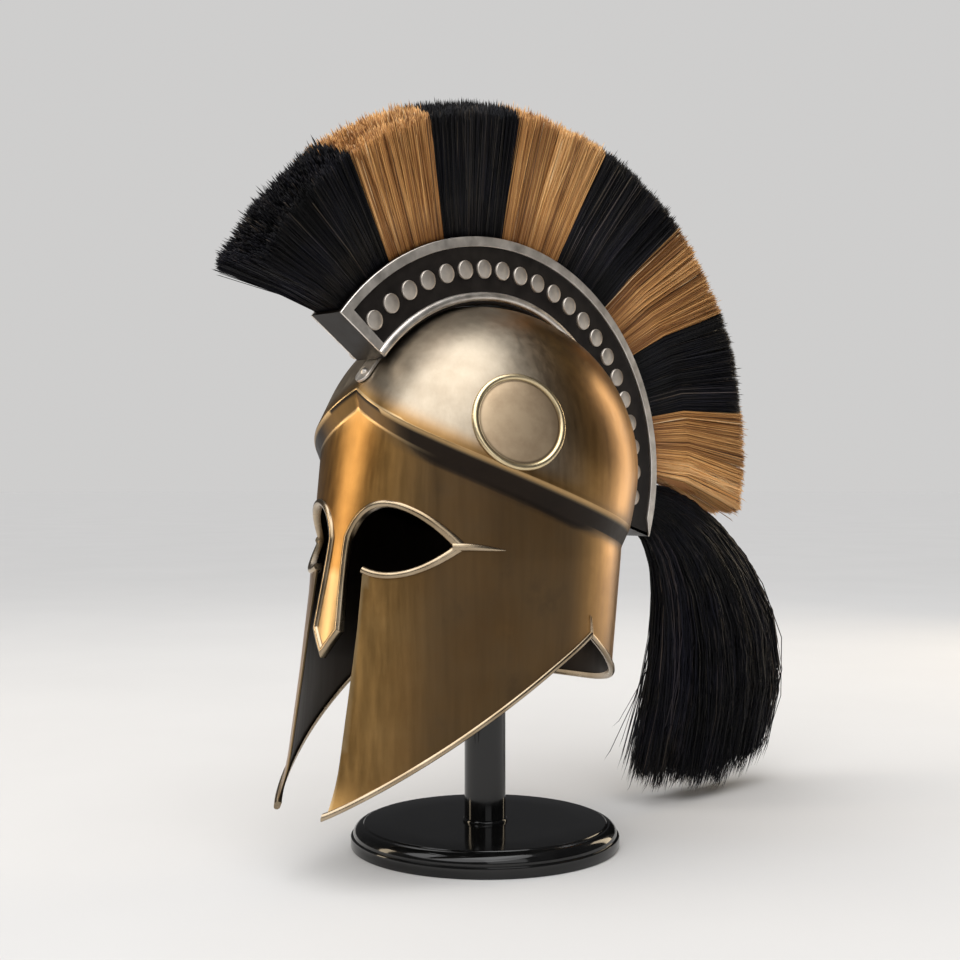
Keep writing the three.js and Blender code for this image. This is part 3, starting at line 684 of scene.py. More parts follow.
def bowlNormal(p):
    return Vector((p.x / shell["side"] ** 2, (p.y - bowlY) / shell["reach"] ** 2,
                   (p.z - shell["z"]) / shell["height"] ** 2)).normalized()


def ontoBowl(start, axis):
    low, high = 0, 80
    for _ in range(32):
        t = (low + high) / 2
        p = start + axis * t
        if math.hypot(p.x, p.y - bowlY) < bowlRadius(math.atan2(p.x, bowlY - p.y), p.z):
            low = t
        else:
            high = t
    return start + axis * low


def makeDisc(side, name):
    place = Vector((side * discs["x"], discs["y"], discs["z"]))
    axis = bowlNormal(place)
    middle = ontoBowl(place - axis * 40, axis)
    u = Vector((0, 0, 1)).cross(axis).normalized()
    v = axis.cross(u)
    centre, half, height = discs["ring"]
    rings = list(discs["profile"])
    for turn in np.linspace(math.pi, 0, 12):
        rings.append((centre + half * math.cos(turn), 0.6 + height * math.sin(turn)))
    rings += [(centre + half, discs["foot"]), (14, discs["foot"]), (0, discs["foot"])]
    segments = discs["segments"]

    def put(across, along):
        r, height = rings[round(along * (len(rings) - 1))]
        turn = math.tau * round(across * segments) / segments
        foot = ontoBowl(middle + u * r * math.cos(turn) + v * r * math.sin(turn) - axis * 40, axis)
        return foot + bowlNormal(foot) * height
    return smooth(closeUp(layGrid(name, segments, len(rings) - 1, put)), 60)


# ---- the crest's box, frames and studs ----

crest = {
    "y": -3.5, "z": 259.5, "front": 144.3, "back": -17, "half": 14, "wall": 2, "steps": 110,
    "top": (172, 172, 159), "bead": (128, 120.5, 115.5), "floor": (127, 120, 113.2),  # to the front, back and crown
    "band": 6.6, "proud": 1.6, "beadHeight": 6, "beadProud": 3, "frontBand": 2.7, "taper": 5,
}


def arcRadius(curve, angle):
    front, back, crown = crest[curve]
    phi = math.radians(angle)
    reach = back if math.cos(phi) > 0 else front
    return 1 / math.sqrt((math.cos(phi) / reach) ** 2 + (math.sin(phi) / crown) ** 2)


def crestPoint(angle, x, radius):
    phi = math.radians(angle)
    return Vector((x, crest["y"] + radius * math.cos(phi), crest["z"] + radius * math.sin(phi)))


def arcRun(name, start, end, steps, sectionAt):
    # a section that may change along the crest's arc: sectionAt(angle) gives its points (x, radius)
    count = len(sectionAt(start))

    def place(across, along):
        angle = mix(start, end, along)
        x, radius = sectionAt(angle)[round(across * count) % count]
        return crestPoint(angle, x, radius)
    return closeUp(layGrid(name, count, steps, place), fill=True)


def makeCrestBox():
    w, wall = crest["half"], crest["wall"]

    def channel(angle):
        low, high = arcRadius("floor", angle), arcRadius("top", angle)
        bed = low + wall
        return [(-w, high), (-w, low + 1), (1 - w, low), (w - 1, low), (w, low + 1), (w, high), (w - wall, high),
                (w - wall, bed), (wall - w, bed), (wall - w, high)]

    def plate(angle):
        low, high = arcRadius("floor", angle), arcRadius("top", angle)
        return [(-w, low), (w, low), (w, high - 0.4), (w - 0.4, high), (0.4 - w, high), (-w, high - 0.4)]
    front, back = crest["front"], crest["back"]
    parts = [arcRun("channel", back + 0.05, front - 0.05, crest["steps"], channel),
             arcRun("frontPlate", front - 0.8, front, 2, plate), arcRun("backPlate", back, back + 0.8, 2, plate)]
    return smooth(joinPieces("crestBox", parts), 30)


def makeCrestFrame(side, name):
    foot = crest["half"] + 0.05
    face = crest["half"] + crest["proud"]
    crown = crest["half"] + crest["beadProud"]
    back, front = crest["back"], crest["front"]

    def flip(points):
        return [(side * x, r) for x, r in points]

    def band(angle):
        top = arcRadius("top", angle)
        low = top - crest["band"] * min(1, 0.12 + (angle - back) / crest["taper"])
        return flip([(foot, low), (face - 0.3, low), (face, low + 0.3), (face, top - 0.4), (face - 0.4, top), (foot, top)])

    def bead(angle):
        low, h = arcRadius("bead", angle), crest["beadHeight"]
        return flip([(foot, low), (face, low), (mix(face, crown, 0.6), low + 0.1 * h), (crown, low + 0.32 * h),
                     (crown, low + 0.58 * h), (mix(face, crown, 0.5), low + 0.86 * h), (face - 0.6, low + h), (foot, low + h)])

    def post(angle):
        low, high = arcRadius("bead", angle) + 1, arcRadius("top", angle) - 1
        under = face - 0.12  # just below the band and the bead where they cross it
        return flip([(foot, low), (under, low), (under, high), (foot, high)])
    parts = [arcRun("band", back, front, crest["steps"], band), arcRun("bead", back, front, crest["steps"], bead),
             arcRun("post", front - crest["frontBand"], front, 2, post)]
    return smooth(joinPieces(name, parts), 40)


studs = {"first": 138.9, "pitch": 7.33, "perSide": 21, "radius": 6.3, "height": 1.6, "rim": 0.7, "dish": 0.12}


def makeStud():
    # one stud, its flat foot on the panel and its face towards +X
    deselectAll()
    bpy.ops.mesh.primitive_cylinder_add(vertices=40, radius=studs["radius"] * mm, depth=studs["height"] * mm)
    stud = bpy.context.object
    bpy.ops.object.mode_set(mode="EDIT")
    bpy.ops.mesh.select_all(action="DESELECT")
    bpy.ops.object.mode_set(mode="OBJECT")
    for face in stud.data.polygons:
        face.select = face.normal.z > 0.9
    bpy.ops.object.mode_set(mode="EDIT")
    bpy.ops.mesh.bevel(offset=0.3 * mm, segments=2, affect="EDGES")
    bpy.ops.object.mode_set(mode="OBJECT")
    for face in stud.data.polygons:
        face.select = face.normal.z > 0.99
    bpy.ops.object.mode_set(mode="EDIT")
    bpy.ops.mesh.inset(thickness=studs["rim"] * mm, depth=0)
    bpy.ops.mesh.inset(thickness=0.3 * mm, depth=-studs["dish"] * mm)
    bpy.ops.object.mode_set(mode="OBJECT")
    stud.rotation_euler = (0, math.pi / 2, 0)
    bpy.ops.object.transform_apply(location=False, rotation=True)
    return stud


def makeStuds():
    first = makeStud()
    copies = []
    for side in (1, -1):
        for i in range(studs["perSide"]):
            angle = studs["first"] - studs["pitch"] * i
            low = arcRadius("bead", angle) + crest["beadHeight"]
            high = arcRadius("top", angle) - crest["band"]
            stud = bpy.data.objects.new("stud", first.data.copy())
            bpy.context.scene.collection.objects.link(stud)
            stud.location = crestPoint(angle, side * (crest["half"] + studs["height"] / 2), (low + high) / 2) * mm
            stud.rotation_euler = (math.radians(angle + 23 * i), 0, 0 if side > 0 else math.pi)
            copies.append(stud)
    pick(*copies)
    bpy.ops.object.transform_apply(location=True, rotation=True)
    bpy.data.objects.remove(first)
    return smooth(joinPieces("crestStuds", copies), 40)


# ---- the strap at the brow ----

strap = {"half": 6, "thick": 1.8, "low": 315, "high": 333, "rivetZ": 321.5, "rivetRadius": 2.7}


def browFoot(z, lift, x=0):
    y = bowlY - bowlRadius(0, z)
    slope = (bowlRadius(0, z - 0.1) - bowlRadius(0, z + 0.1)) / 0.2
    normal = Vector((0, -1, slope)).normalized()
    return Vector((x, y, z)) + normal * lift


def makeStrap():
    def at(t):
        z = mix(strap["low"], strap["high"], t)
        share = math.sqrt(1 - (1 - min(1, t / 0.3)) ** 2) if t < 0.3 else 1

        def put(a, b):
            return browFoot(z, 0.3 + b * strap["thick"], a * strap["half"] * max(0.04, share))
        return put
    section = [(-1, 0), (-1, 0.8), (-0.93, 1), (0.93, 1), (1, 0.8), (1, 0)]
    return smooth(sweep("crestBracket", 24, section, at), 40)


def makeRivet():
    deselectAll()
    bpy.ops.mesh.primitive_uv_sphere_add(segments=32, ring_count=16, radius=strap["rivetRadius"] * mm)
    rivet = bpy.context.object
    rivet.name = "bracketRivet"
    bpy.ops.object.mode_set(mode="EDIT")
    bpy.ops.mesh.select_all(action="SELECT")
    bpy.ops.mesh.bisect(plane_co=(0, 0, 0.2 * mm), plane_no=(0, 0, 1), clear_inner=True, use_fill=True)
    bpy.ops.object.mode_set(mode="OBJECT")
    foot = browFoot(strap["rivetZ"], 0.3 + strap["thick"] - 0.3)
    normal = (browFoot(strap["rivetZ"], 1) - browFoot(strap["rivetZ"], 0)).normalized()
    rivet.rotation_euler = Vector((0, 0, 1)).rotation_difference(normal).to_euler()
    rivet.scale = (1, 1, 0.8)
    rivet.location = foot * mm
    pick(rivet)
    bpy.ops.object.transform_apply(location=True, rotation=True, scale=True)
    return smooth(rivet, 50)


# ---- the hair ----

hair = {
    "rootDepth": 9, "rootCover": 6, "rootHalf": 11.4, "tipHalf": 24, "tipDrop": 10,
    "coreShare": 0.86, "coreDrop": 10, "coreColumns": 60, "coreRows": 22,
    "strands": 6100, "flank": 0.34, "innerFace": 0.07, "endFace": 0.24,  # and the share on each kind of face
    "long": [0, 0.4, 0.97, 1], "short": [0.58, 0.97, 1],  # where a strand has its rings
    "width": [0.9, 0.78, 0.58, 0.05], "locks": 7.5, "gather": 0.2, "lockLength": 0.6, "uneven": 1.3, "stray": 0.05,
    "sag": 3.2,  # degrees that the hair at the back hangs below its root's line
    "reach": [(-10, 276), (5, 283), (25, 285), (50, 274), (75, 258.5), (100, 250), (135, 247), (150, 244)],
}
tufts = [  # colour, angles at the box and at the tips
    ("black", 143.1, 149, 125, 125), ("tan", 125, 125, 106.7, 106.7), ("black", 106.7, 106.7, 87, 87),
    ("tan", 87, 87, 67, 66.5), ("black", 67, 66.5, 46.5, 46.2), ("tan", 46.5, 46.2, 30.8, 30.2),
    ("black", 30.8, 30.2, 14, 13), ("tan", 14, 13, -0.5, -4),
]


def strandMesh(name, paths, widths, shade):
    # three-sided strands: paths are (strand, ring, xyz) in millimetres, the last ring is the tip
    count, rings = paths.shape[:2]
    along = np.gradient(paths, axis=1)
    along /= np.linalg.norm(along, axis=2, keepdims=True) + 1e-9
    rng = np.random.default_rng(count)
    side = np.cross(along, rng.normal(size=(count, 1, 3)))
    side /= np.linalg.norm(side, axis=2, keepdims=True) + 1e-9
    other = np.cross(along, side)
    corners = []
    for turn in (0, math.tau / 3, 2 * math.tau / 3):
        corners.append(paths + widths[:, :, None] / 2 * (math.cos(turn) * side + math.sin(turn) * other))
    body = np.stack(corners, axis=2)[:, :-1]  # strand, ring, corner, xyz
    perStrand = (rings - 1) * 3 + 1
    points = np.concatenate([body.reshape(count, -1, 3), paths[:, -1:, :]], axis=1)
    faces = [(2, 1, 0)]
    for r in range(rings - 2):
        for c in range(3):
            d = (c + 1) % 3
            faces.append((3 * r + c, 3 * r + d, 3 * r + 3 + d, 3 * r + 3 + c))
    top = 3 * (rings - 2)
    faces += [(top + c, top + (c + 1) % 3, perStrand - 1) for c in range(3)]
    allFaces = [tuple(k * perStrand + i for i in face) for k in range(count) for face in faces]
    mesh = bpy.data.meshes.new(name)
    mesh.from_pydata((points.reshape(-1, 3) * mm).tolist(), [], allFaces)
    share = np.concatenate([np.repeat(np.linspace(0, 1, rings)[:-1], 3), [1]])
    setHairValues(mesh, np.repeat(shade, perStrand), np.tile(share, count))
    mesh.shade_smooth()
    piece = bpy.data.objects.new(name, mesh)
    bpy.context.scene.collection.objects.link(piece)
    return piece


def setHairValues(mesh, shade, along):
    for key, values in (("strandShade", shade), ("alongHair", along)):
        layer = mesh.attributes.new(key, "FLOAT", "POINT")
        layer.data.foreach_set("value", np.asarray(values, np.float32))


def ellipseRadius(curve, angle):
    front, back, crown = crest[curve]
    phi = np.radians(angle)
    reach = np.where(np.cos(phi) > 0, back, front)
    return 1 / np.sqrt((np.cos(phi) / reach) ** 2 + (np.sin(phi) / crown) ** 2)


def fanPoints(angle, x, radius):
    phi = np.radians(angle)
    return np.stack([x + 0 * phi, crest["y"] + radius * np.cos(phi), crest["z"] + radius * np.sin(phi)], axis=-1)


def tuftReach(angle):
    rows = hair["reach"]
    return np.interp(angle, [r[0] for r in rows], [r[1] for r in rows])


def sagAt(angle):
    return hair["sag"] * np.clip(np.cos(np.radians(angle)), 0, 1) ** 2


def makeTuftCore(name, start, startTip, end, endTip, rng):
    # the inside of a tuft, coloured dark as painted shade where it shows between its strands
    columns, rows = hair["coreColumns"], hair["coreRows"]
    half = hair["tipHalf"] * hair["coreShare"]

    def place(across, along):
        s = 0.05 + 0.9 * across
        rootAngle, tipAngle = mix(start, end, s), mix(startTip, endTip, s)
        root = arcRadius("top", rootAngle) - hair["rootDepth"]
        tip = float(tuftReach(tipAngle)) - hair["coreDrop"]
        turn = mix(-1, 1, along)  # round the section, from one foot over the tips to the other
        if abs(turn) > 0.35:
            t = (1 - abs(turn)) / 0.65
            x = math.copysign(mix(hair["rootHalf"] - 1, half, t), turn)
            radius = mix(root, tip - hair["tipDrop"], t)
        else:
            bend = turn / 0.35 * math.pi / 2
            x = half * math.sin(bend)
            radius = tip - hair["tipDrop"] + hair["tipDrop"] * math.cos(bend)
        share = (radius - root) / (tip - root)
        angle = mix(rootAngle, tipAngle, share)
        return crestPoint(angle - float(sagAt(angle)) * share ** 2, x, radius)

    core = layGrid(name, columns, rows, place)
    # painted shade: the core takes only the darkest tones
    shades = rng.uniform(0.0, 0.2, columns + 1)
    values = [shades[i % (columns + 1)] for i in range(len(core.data.vertices))]
    setHairValues(core.data, values, [0.5] * len(values))
    closeUp(core, fill=True)
    core.data.shade_smooth()
    return core


def tuftStrands(name, rng, locks, rings, s, q, tuft):
    # one bundle of strands: s runs from the tuft's front to its back at the root and q from side to side
    start, startTip, end, endTip = tuft
    count = len(s)
    lockS, lockQ, lockLean, lockLength, lockShade = locks
    nearest = np.argmin((s[:, None] - lockS) ** 2 + (0.55 * (q[:, None] - lockQ)) ** 2, axis=1)
    tipS = s + hair["gather"] * (lockS[nearest] - s) + lockLean[nearest] + rng.normal(0, 0.012, count)
    tipQ = np.where(np.abs(q) > 0.84, q, q + 0.5 * hair["gather"] * (lockQ[nearest] - q))
    stray = rng.uniform(0, 1, count) < hair["stray"]
    tipS = tipS + stray * rng.normal(0, 0.05, count)
    t = np.array(rings)[None, :] * np.ones((count, 1))
    rootAngle, tipAngle = start + (end - start) * s, startTip + (endTip - startTip) * tipS
    angle = rootAngle[:, None] + (tipAngle - rootAngle)[:, None] * t
    angle = angle - sagAt(angle) * t ** 2 + rng.normal(0, 0.12, (count, len(rings))) * (t > 0.1) * (t < 0.9)
    root = ellipseRadius("top", rootAngle) - hair["rootDepth"] + hair["rootCover"]
    tip = tuftReach(tipAngle) - hair["tipDrop"] * np.abs(np.clip(tipQ, -1, 1)) ** 2.6
    tip += lockLength[nearest] + rng.normal(0, hair["uneven"], count) + stray * rng.uniform(0, 4, count)
    tip -= np.abs(rng.normal(0, 3.5, count)) * (rng.uniform(0, 1, count) < 0.3)
    radius = root[:, None] + (tip - root)[:, None] * t
    half = mix(hair["rootHalf"] - 0.4, hair["tipHalf"], t)
    across = q[:, None] + (tipQ - q)[:, None] * t
    x = across * half + rng.normal(0, 0.45, (count, 1)) * t + stray[:, None] * rng.normal(0, 1.6, (count, 1)) * t
    x = np.clip(x, -hair["tipHalf"] - 2.5, hair["tipHalf"] + 2.5)
    widths = np.array(hair["width"][-len(rings):])[None, :] * rng.uniform(0.65, 1.3, (count, 1))
    shade = 0.5 + 0.17 * lockShade[nearest] + rng.normal(0, 0.2, count)
    # a few strands get the darkest tones: partly real dark hairs, partly painted shade between locks
    shade = np.where(rng.uniform(0, 1, count) < 0.06, rng.uniform(0, 0.12, count), np.clip(shade, 0.1, 0.93))
    shade = np.where(rng.uniform(0, 1, count) < 0.02, 1.0, shade)
    return strandMesh(name, fanPoints(angle, x, radius), widths, shade)


def makeTuft(number, start, startTip, end, endTip):
    rng = np.random.default_rng(40 + number)
    name = f"hairTuft{number}"
    count = int(hair["strands"] * mix(1, (start - end) / 19, 0.7))
    lockCount = int(hair["locks"] * (start - end))
    locks = (rng.uniform(0, 1, lockCount), rng.uniform(-1, 1, lockCount), rng.normal(0, 0.014, lockCount),
             rng.normal(0, hair["lockLength"], lockCount), rng.normal(0, 1, lockCount))
    outerEnd = number in (1, len(tufts))
    faceShare = hair["endFace"] if outerEnd else hair["innerFace"]
    kind = rng.uniform(0, 1, count)
    flank = kind < hair["flank"]
    onFaces = kind > 1 - faceShare
    s = rng.uniform(0.0, 1.0, count)
    q = rng.uniform(-0.97, 0.97, count)
    q = np.where(flank, np.sign(q) * rng.uniform(0.86, 1.03, count), q)
    s = np.where(onFaces, np.round(s) + (0.5 - np.round(s)) * rng.uniform(0, 0.07, count), s)
    long = flank | onFaces  # the others show only at the cut top, so they start half way up
    tuft = (start, startTip, end, endTip)
    parts = [tuftStrands(name, rng, locks, hair["long"], s[long], q[long], tuft),
             tuftStrands(name + "Top", rng, locks, hair["short"], s[~long], q[~long], tuft),
             makeTuftCore(name + "Core", start, startTip, end, endTip, rng)]
    return joinPieces(name, parts)


tail = {
    "outer": (-3.2, (254, 250), (402, 128), (306, 22)),  # root angle, two pulls and the end, in the Y Z plane
    "inner": (-12.8, (202, 203), (205, 122), (168, 22)),
    "middleDrop": 17, "shortest": 4, "rootHalf": 10, "endHalf": 21, "strands": 4650, "width": 0.95, "locks": 90,
    "rings": [0, 0.17, 0.33, 0.49, 0.66, 0.83, 0.97, 1], "taper": [1, 1, 1, 0.95, 0.85, 0.7, 0.5, 0.05],
    "wander": (3.4, 5.2, 2), "loose": 0.09, "looseWander": (8, 13, 5),
}


def tailPath(s, q, t, short):
    # s runs from the outside of the fall to the inside, q across it, t along the hair; short is in millimetres
    outer, inner = tail["outer"], tail["inner"]
    rootAngle = mix(outer[0], inner[0], s)
    rootRadius = ellipseRadius("top", rootAngle) - hair["rootDepth"] + 1
    phi = np.radians(rootAngle)
    pulls = [np.stack([tail["rootHalf"] * q, crest["y"] + rootRadius * np.cos(phi),
                       crest["z"] + rootRadius * np.sin(phi)], -1)]
    for key, wide in ((1, 0.62), (2, 1.05), (3, 1.0)):
        y, z = mix(outer[key][0], inner[key][0], s), mix(outer[key][1], inner[key][1], s)
        pulls.append(np.stack([tail["endHalf"] * wide * q, y, z], -1))
    pulls[3][:, 2] += short - tail["middleDrop"] * np.clip(1 - (2 * s - 1) ** 2, 0, 1)
    a, b, c, d = (pull[:, None, :] for pull in pulls)
    t = t[:, :, None]
    return a * (1 - t) ** 3 + 3 * b * t * (1 - t) ** 2 + 3 * c * t ** 2 * (1 - t) + d * t ** 3


def makeTail():
    rng = np.random.default_rng(77)
    count, lockCount = tail["strands"], tail["locks"]
    s = rng.beta(0.8, 0.8, count) * 1.06 - 0.03
    q = rng.uniform(-1, 1, count)
    q = np.sign(q) * np.abs(q) ** 0.5 * np.sqrt(np.clip(1 - (2 * s - 1) ** 2, 0.14, 1))
    lockS, lockQ = rng.uniform(0, 1, lockCount), rng.uniform(-1, 1, lockCount)
    nearest = np.argmin((s[:, None] - lockS) ** 2 + (0.35 * (q[:, None] - lockQ)) ** 2, axis=1)
    rings = np.array(tail["rings"])
    t = rings[None, :] * np.ones((count, 1))
    t[:, 1:-2] += rng.uniform(-0.06, 0.06, (count, 1))  # so that no two strands bend at the same place
    short = rng.normal(0, 7, lockCount)[nearest] + np.abs(rng.normal(0, 12, count))
    base = tailPath(s, q, t, short)
    gathered = tailPath(mix(s, lockS[nearest], 0.45) + rng.normal(0, 0.02, lockCount)[nearest],
                        mix(q, lockQ[nearest], 0.3), t, short)
    blendIn = (t ** 1.5)[:, :, None]
    paths = mix(base, gathered, blendIn)
    loose = rng.uniform(0, 1, (count, 1, 1)) < tail["loose"]
    spread = np.where(loose, np.array(tail["looseWander"]), np.array(tail["wander"])) * rng.normal(0, 1, (count, 1, 3))
    spread[:, :, 2] = np.abs(spread[:, :, 2])
    paths = paths + spread * (t ** 2)[:, :, None] + rng.normal(0, 0.5, paths.shape) * (t > 0.1)[:, :, None]
    paths[:, :, 2] = np.maximum(paths[:, :, 2], tail["shortest"] + rng.uniform(0, 5, (count, 1)))
    widths = tail["width"] * np.array(tail["taper"])[None, :] * rng.uniform(0.6, 1.35, (count, 1))
    shade = np.clip(0.45 + 0.15 * rng.normal(0, 1, lockCount)[nearest] + rng.normal(0, 0.22, count), 0, 0.94)
    shade = np.where(rng.uniform(0, 1, count) < 0.02, 1.0, shade)
    strands = strandMesh("hairTailStrands", paths, widths, shade)
    root = arcRun("tailRoot", -0.9, -15.6, 6, lambda angle: [
        (x, arcRadius("top", angle) - r) for x, r in ((-11, 8.8), (11, 8.8), (11, -2), (-11, -2))])
    setHairValues(root.data, [0.2] * len(root.data.vertices), [0.4] * len(root.data.vertices))
    return joinPieces("hairTail", [strands, root])


# ---- the stand ----

stand = {
    "base": [(0, 0), (91.6, 0), (92.6, 0.3), (93, 1.0), (93, 7.0), (92.8, 7.6), (92.2, 7.9), (91.4, 8.0), (91.4, 8.6)],
    "moulding": (91.4, 84.5, 8.6, 15.4), "discRound": 0.9, "height": 16.3,
    "postRadius": 14.3, "postTop": 326,
    "restRadius": 48, "restHeight": 14, "restSide": 98.5, "restCrown": 368.1,
}


def makeBase():
    profile = list(stand["base"])
    outer, inner, low, high = stand["moulding"]
    for i in range(1, 11):
        turn = i / 10 * math.pi / 2
        profile.append((mix(inner, outer, math.cos(turn)), mix(low, high, math.sin(turn))))
    r, top = inner - 0.3, stand["height"]
    for i in range(1, 5):
        turn = i / 4 * math.pi / 2
        profile.append((r - stand["discRound"] * (1 - math.cos(turn)), mix(high, top, math.sin(turn))))
    profile += [(60, top), (30, top), (0, top)]
    return smooth(spinProfile("standBase", profile, 160), 40)


def makePost():
    low, top, r = stand["height"], stand["postTop"], stand["postRadius"]
    profile = [(0, low), (r + 1.2, low), (r + 1.2, low + 1.2), (r + 0.8, low + 2), (r, low + 2.4), (r, low + 60),
               (r, low + 150), (r, top), (0, top)]
    return smooth(spinProfile("standPost", profile, 96), 40)


def makeRest():
    radius, side = stand["restRadius"], stand["restSide"]

    def topAt(r):
        return stand["restCrown"] - shell["height"] * (1 - math.sqrt(1 - (r / side) ** 2))
    low = stand["postTop"] + 0.2
    rim = topAt(radius)
    profile = [(0, low), (radius - 8, low), (radius - 5, low + 0.6), (radius - 1, rim - stand["restHeight"] + 1),
               (radius, rim - stand["restHeight"] + 4), (radius, rim - 1.5), (radius - 0.4, rim - 0.4), (radius - 1.2, topAt(radius - 1.2))]
    profile += [(radius * i / 8, topAt(radius * i / 8)) for i in range(7, -1, -1)]
    return smooth(spinProfile("headRest", profile, 96), 40)


# ---- making the pieces ----

def setTones(piece, tonesAt):
    # how polished, how aged and how pale the bronze is at each point, with painted highlights in the rim values,
    # painted shade in the patina values and partly painted cool light in the pale values
    rows = [tonesAt(v.co / mm) for v in piece.data.vertices]
    for key, values in zip(("rim", "patinaAndShade", "dome"), zip(*rows)):
        layer = piece.data.attributes.new(key, "FLOAT", "POINT")
        layer.data.foreach_set("value", np.asarray(values, np.float32))


def fade(value, full, none):
    # 1 at full, 0 at none, and smooth between them
    t = min(1, max(0, (value - none) / (full - none)))
    return t * t * (3 - 2 * t)


def shellTones(p):
    theta = math.atan2(p.x, bowlY - p.y)
    turn = abs(math.degrees(theta))
    lip = lipHeight(theta)
    foot = lip - shell["ledge"]
    away = math.hypot(p.x, p.y - bowlY)
    outer = bowlRadius(theta, p.z) if p.z > lip - 1 else wallRadius(theta, min(p.z, foot))
    if away < outer - 0.8:
        return 0, 1, 0  # the inside, painted dark as shade
    # the front, where the lamps light the brow and nose: the painted shade below is kept off it and the painted
    # highlights are put on it
    front = fade(turn, 8, 34)
    if p.z > lip + 0.8:
        # a paler bowl on its front and sides, partly its own tone and partly painted cool light
        pale = fade(p.z - lip, 14, 0) * fade(turn, 62, 96)
        # darker just above the lip, except at the front
        return 0, 0.3 * fade(p.z - lip, 1, 9) * (1 - front), pale
    if p.z > lip - 0.9:
        # the lip's edge: polished wear, with a painted highlight that is stronger at the front
        return 0.3 + 0.5 * front, 0, 0
    if p.z > foot + 0.6:
        # painted shade on the band under the lip, which faces down; lighter at the lit front
        return 0, 1.15 - 0.75 * front, 0
    # the cheeks: real patina, made darker on the sides between the lit front and the lit rear as painted shade
    side = fade(turn, 34, 8) * fade(turn, 84, 108)
    # painted shadow just below the ledge
    under = 0.5 * fade(foot - p.z, 0, 7) * (1 - front)
    # the cut edges of the face opening: polished wear, partly a painted highlight along the edge
    edge = 0.55 if turn < 40 and p.z < faceCut["cheekCorner"][1] and abs(p.x) < faceCut["slotFoot"][0] + 0.4 else 0
    glint = 0.5 * front * fade(foot - p.z, 0, 2.2)
    return max(edge, glint), min(1, 0.62 * side + under), 0


def trimTones(p):
    theta = math.atan2(p.x, bowlY - p.y)
    sunk = wallRadius(theta, p.z) - math.hypot(p.x, p.y - bowlY)
    # painted shade: the bead turns black where it sinks behind the wall into the opening
    return 0, 0.9 * fade(sunk, 2.2, 0.4), 0


def discTones(side):
    place = Vector((side * discs["x"], discs["y"], discs["z"]))
    axis = bowlNormal(place)

    def tonesAt(p):
        away = (p - place).cross(axis).length
        ring = fade(away, 27.8, 27.2)
        return ring, 0.75 * fade(away, 26.9, 25.4) * (1 - ring), 0
    return tonesAt


print("making the shell")
bronzeShell = makeShell()
openFace(bronzeShell)
smooth(bronzeShell, 30)
setTones(bronzeShell, shellTones)
finishPiece(bronzeShell, bronzeDark, "bronze", "helmet_shell")

print("making the beads")
faceTrim = makeFaceTrim()
setTones(faceTrim, trimTones)
finishPiece(faceTrim, bronzeEdge, "bronze_trim", "face_trim")
finishPiece(makeCheekTrim(1, "cheekTrimLeft"), bronzeEdge, "bronze_trim", "cheek_trim_left")
finishPiece(makeCheekTrim(-1, "cheekTrimRight"), bronzeEdge, "bronze_trim", "cheek_trim_right")
finishPiece(makeNeckTrim(), bronzeEdge, "bronze_trim", "neck_trim")
for side, name, node in ((1, "templeDiscLeft", "temple_disc_left"), (-1, "templeDiscRight", "temple_disc_right")):
    disc = makeDisc(side, name)
    setTones(disc, discTones(side))
    finishPiece(disc, bronzeDisc, "bronze", node)

print("making the crest")
finishPiece(makeCrestBox(), crestBlack, "crest_panel", "crest_box")
finishPiece(makeCrestFrame(1, "crestFrameLeft"), steel, "steel", "crest_frame_left")
finishPiece(makeCrestFrame(-1, "crestFrameRight"), steel, "steel", "crest_frame_right")
studNodes = [f"stud_{side}_{i:02d}" for side in ("left", "right") for i in range(1, 19)]
finishPiece(makeStuds(), studMetal, "steel", *studNodes)
finishPiece(makeStrap(), steel, "steel", "crest_bracket")
finishPiece(makeRivet(), steel, "steel", "bracket_rivet")

print("making the hair")
for number, (colour, start, startTip, end, endTip) in enumerate(tufts, 1):
    tuft = makeTuft(number, start, startTip, end, endTip)
    finishPiece(tuft, tanHair if colour == "tan" else blackHair, colour + "_hair", f"hair_tuft_{number}")
finishPiece(makeTail(), blackHair, "black_hair", "hair_tail")

print("making the stand")
finishPiece(makeBase(), lacquer, "black_lacquer", "stand_base")
finishPiece(makePost(), lacquer, "black_lacquer", "stand_post")
finishPiece(makeRest(), lacquer, "black_lacquer", "head_rest")


# ---- floor, light and camera ----

studio = {
    "floorSize": 60, "floorColour": (0.66, 0.655, 0.65), "seen": (0.62, 0.615, 0.61),
    "world": (0.62, 0.62, 0.64), "worldStrength": 0.1,
    "lamps": [  # name, place, size, power, colour
        ("overheadBox", (0.2, -0.45, 1.5), (1.3, 1.1), 5.5, (0.97, 0.98, 1)),
        ("frontStrip", (-1.25, -1.15, 0.42), (0.32, 1.2), 7.5, (1, 0.82, 0.58)),
        ("backStrip", (0.15, 1.75, 0.5), (0.42, 1.3), 8, (1, 0.82, 0.58)),
        ("crestBox", (-0.9, 0.9, 1.5), (1.0, 1.0), 4, (1, 1, 1)),
        ("fill", (1.7, -0.8, 0.9), (1.2, 1.2), 5, (1, 1, 1)),
    ],
    "sunPower": 3.1, "sunAngle": 84, "sunTilt": (26, 6, 0),
}


def makeFloor():
    deselectAll()
    bpy.ops.mesh.primitive_circle_add(vertices=96, radius=studio["floorSize"] / 2, fill_type="NGON")
    floor = bpy.context.object
    floor.name = "floor"
    material, nodes, links, shader = newMaterial("paleFloor")
    clouds = noiseAt(nodes, links, 3, detail=3)
    pale = studio["floorColour"]
    base = ramp(nodes, links, clouds, [(0.3, pale), (0.7, tuple(1.03 * c for c in pale))])
    links.new(base, shader.inputs["Base Color"])
    shader.inputs["Roughness"].default_value = 0.9
    shader.inputs["Specular IOR Level"].default_value = 0.05
    floor.data.materials.append(material)


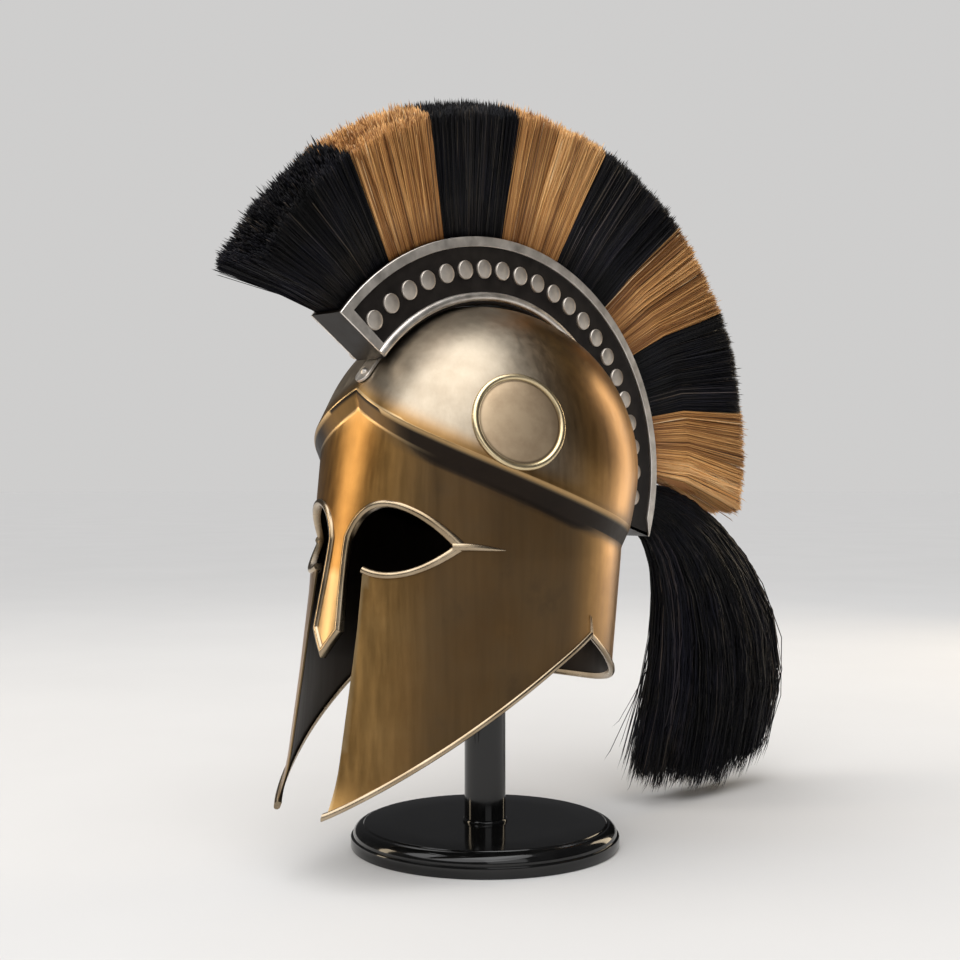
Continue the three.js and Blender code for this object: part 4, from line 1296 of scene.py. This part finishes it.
def addSoftbox(name, place, target, size, power, colour=(1, 1, 1)):
    data = bpy.data.lights.new(name, "AREA")
    data.shape = "RECTANGLE"
    data.size, data.size_y = size
    data.energy = power
    data.color = colour
    lamp = bpy.data.objects.new(name, data)
    bpy.context.scene.collection.objects.link(lamp)
    lamp.location = place
    lamp.rotation_euler = (Vector(target) - Vector(place)).to_track_quat("-Z", "Y").to_euler()


makeFloor()
for name, place, size, power, colour in studio["lamps"]:
    addSoftbox(name, place, (0, 0.03, 0.26), size, power, colour)
sunData = bpy.data.lights.new("sky", "SUN")  # even light over the whole floor
sunData.energy = studio["sunPower"]
sunData.angle = math.radians(studio["sunAngle"])
sun = bpy.data.objects.new("sky", sunData)
sun.rotation_euler = [math.radians(turn) for turn in studio["sunTilt"]]
bpy.context.scene.collection.objects.link(sun)


def makeWorld():
    # the backdrop that is seen is paler than the room that the metal mirrors
    world = bpy.data.worlds.new("studio")
    bpy.context.scene.world = world
    world.use_nodes = True
    nodes, links = world.node_tree.nodes, world.node_tree.links
    room = nodes["Background"]
    room.inputs["Color"].default_value = (*studio["world"], 1)
    room.inputs["Strength"].default_value = studio["worldStrength"]
    backdrop = nodes.new("ShaderNodeBackground")
    backdrop.inputs["Color"].default_value = (*studio["seen"], 1)
    rays = nodes.new("ShaderNodeLightPath")
    either = nodes.new("ShaderNodeMixShader")
    links.new(rays.outputs["Is Camera Ray"], either.inputs[0])
    links.new(room.outputs[0], either.inputs[1])
    links.new(backdrop.outputs[0], either.inputs[2])
    links.new(either.outputs[0], nodes["World Output"].inputs["Surface"])


makeWorld()
bpy.context.scene.view_settings.view_transform = "Standard"

cameraData = bpy.data.cameras.new("camera")
cameraData.lens = 54.375
cameraData.sensor_width = 36
camera = bpy.data.objects.new("camera", cameraData)
bpy.context.scene.collection.objects.link(camera)
camera.location = (0.7251, -0.7002, 0.2526)
camera.rotation_euler = (math.radians(90), 0, math.radians(46.2))
bpy.context.scene.camera = camera
print("floor, light and camera placed")
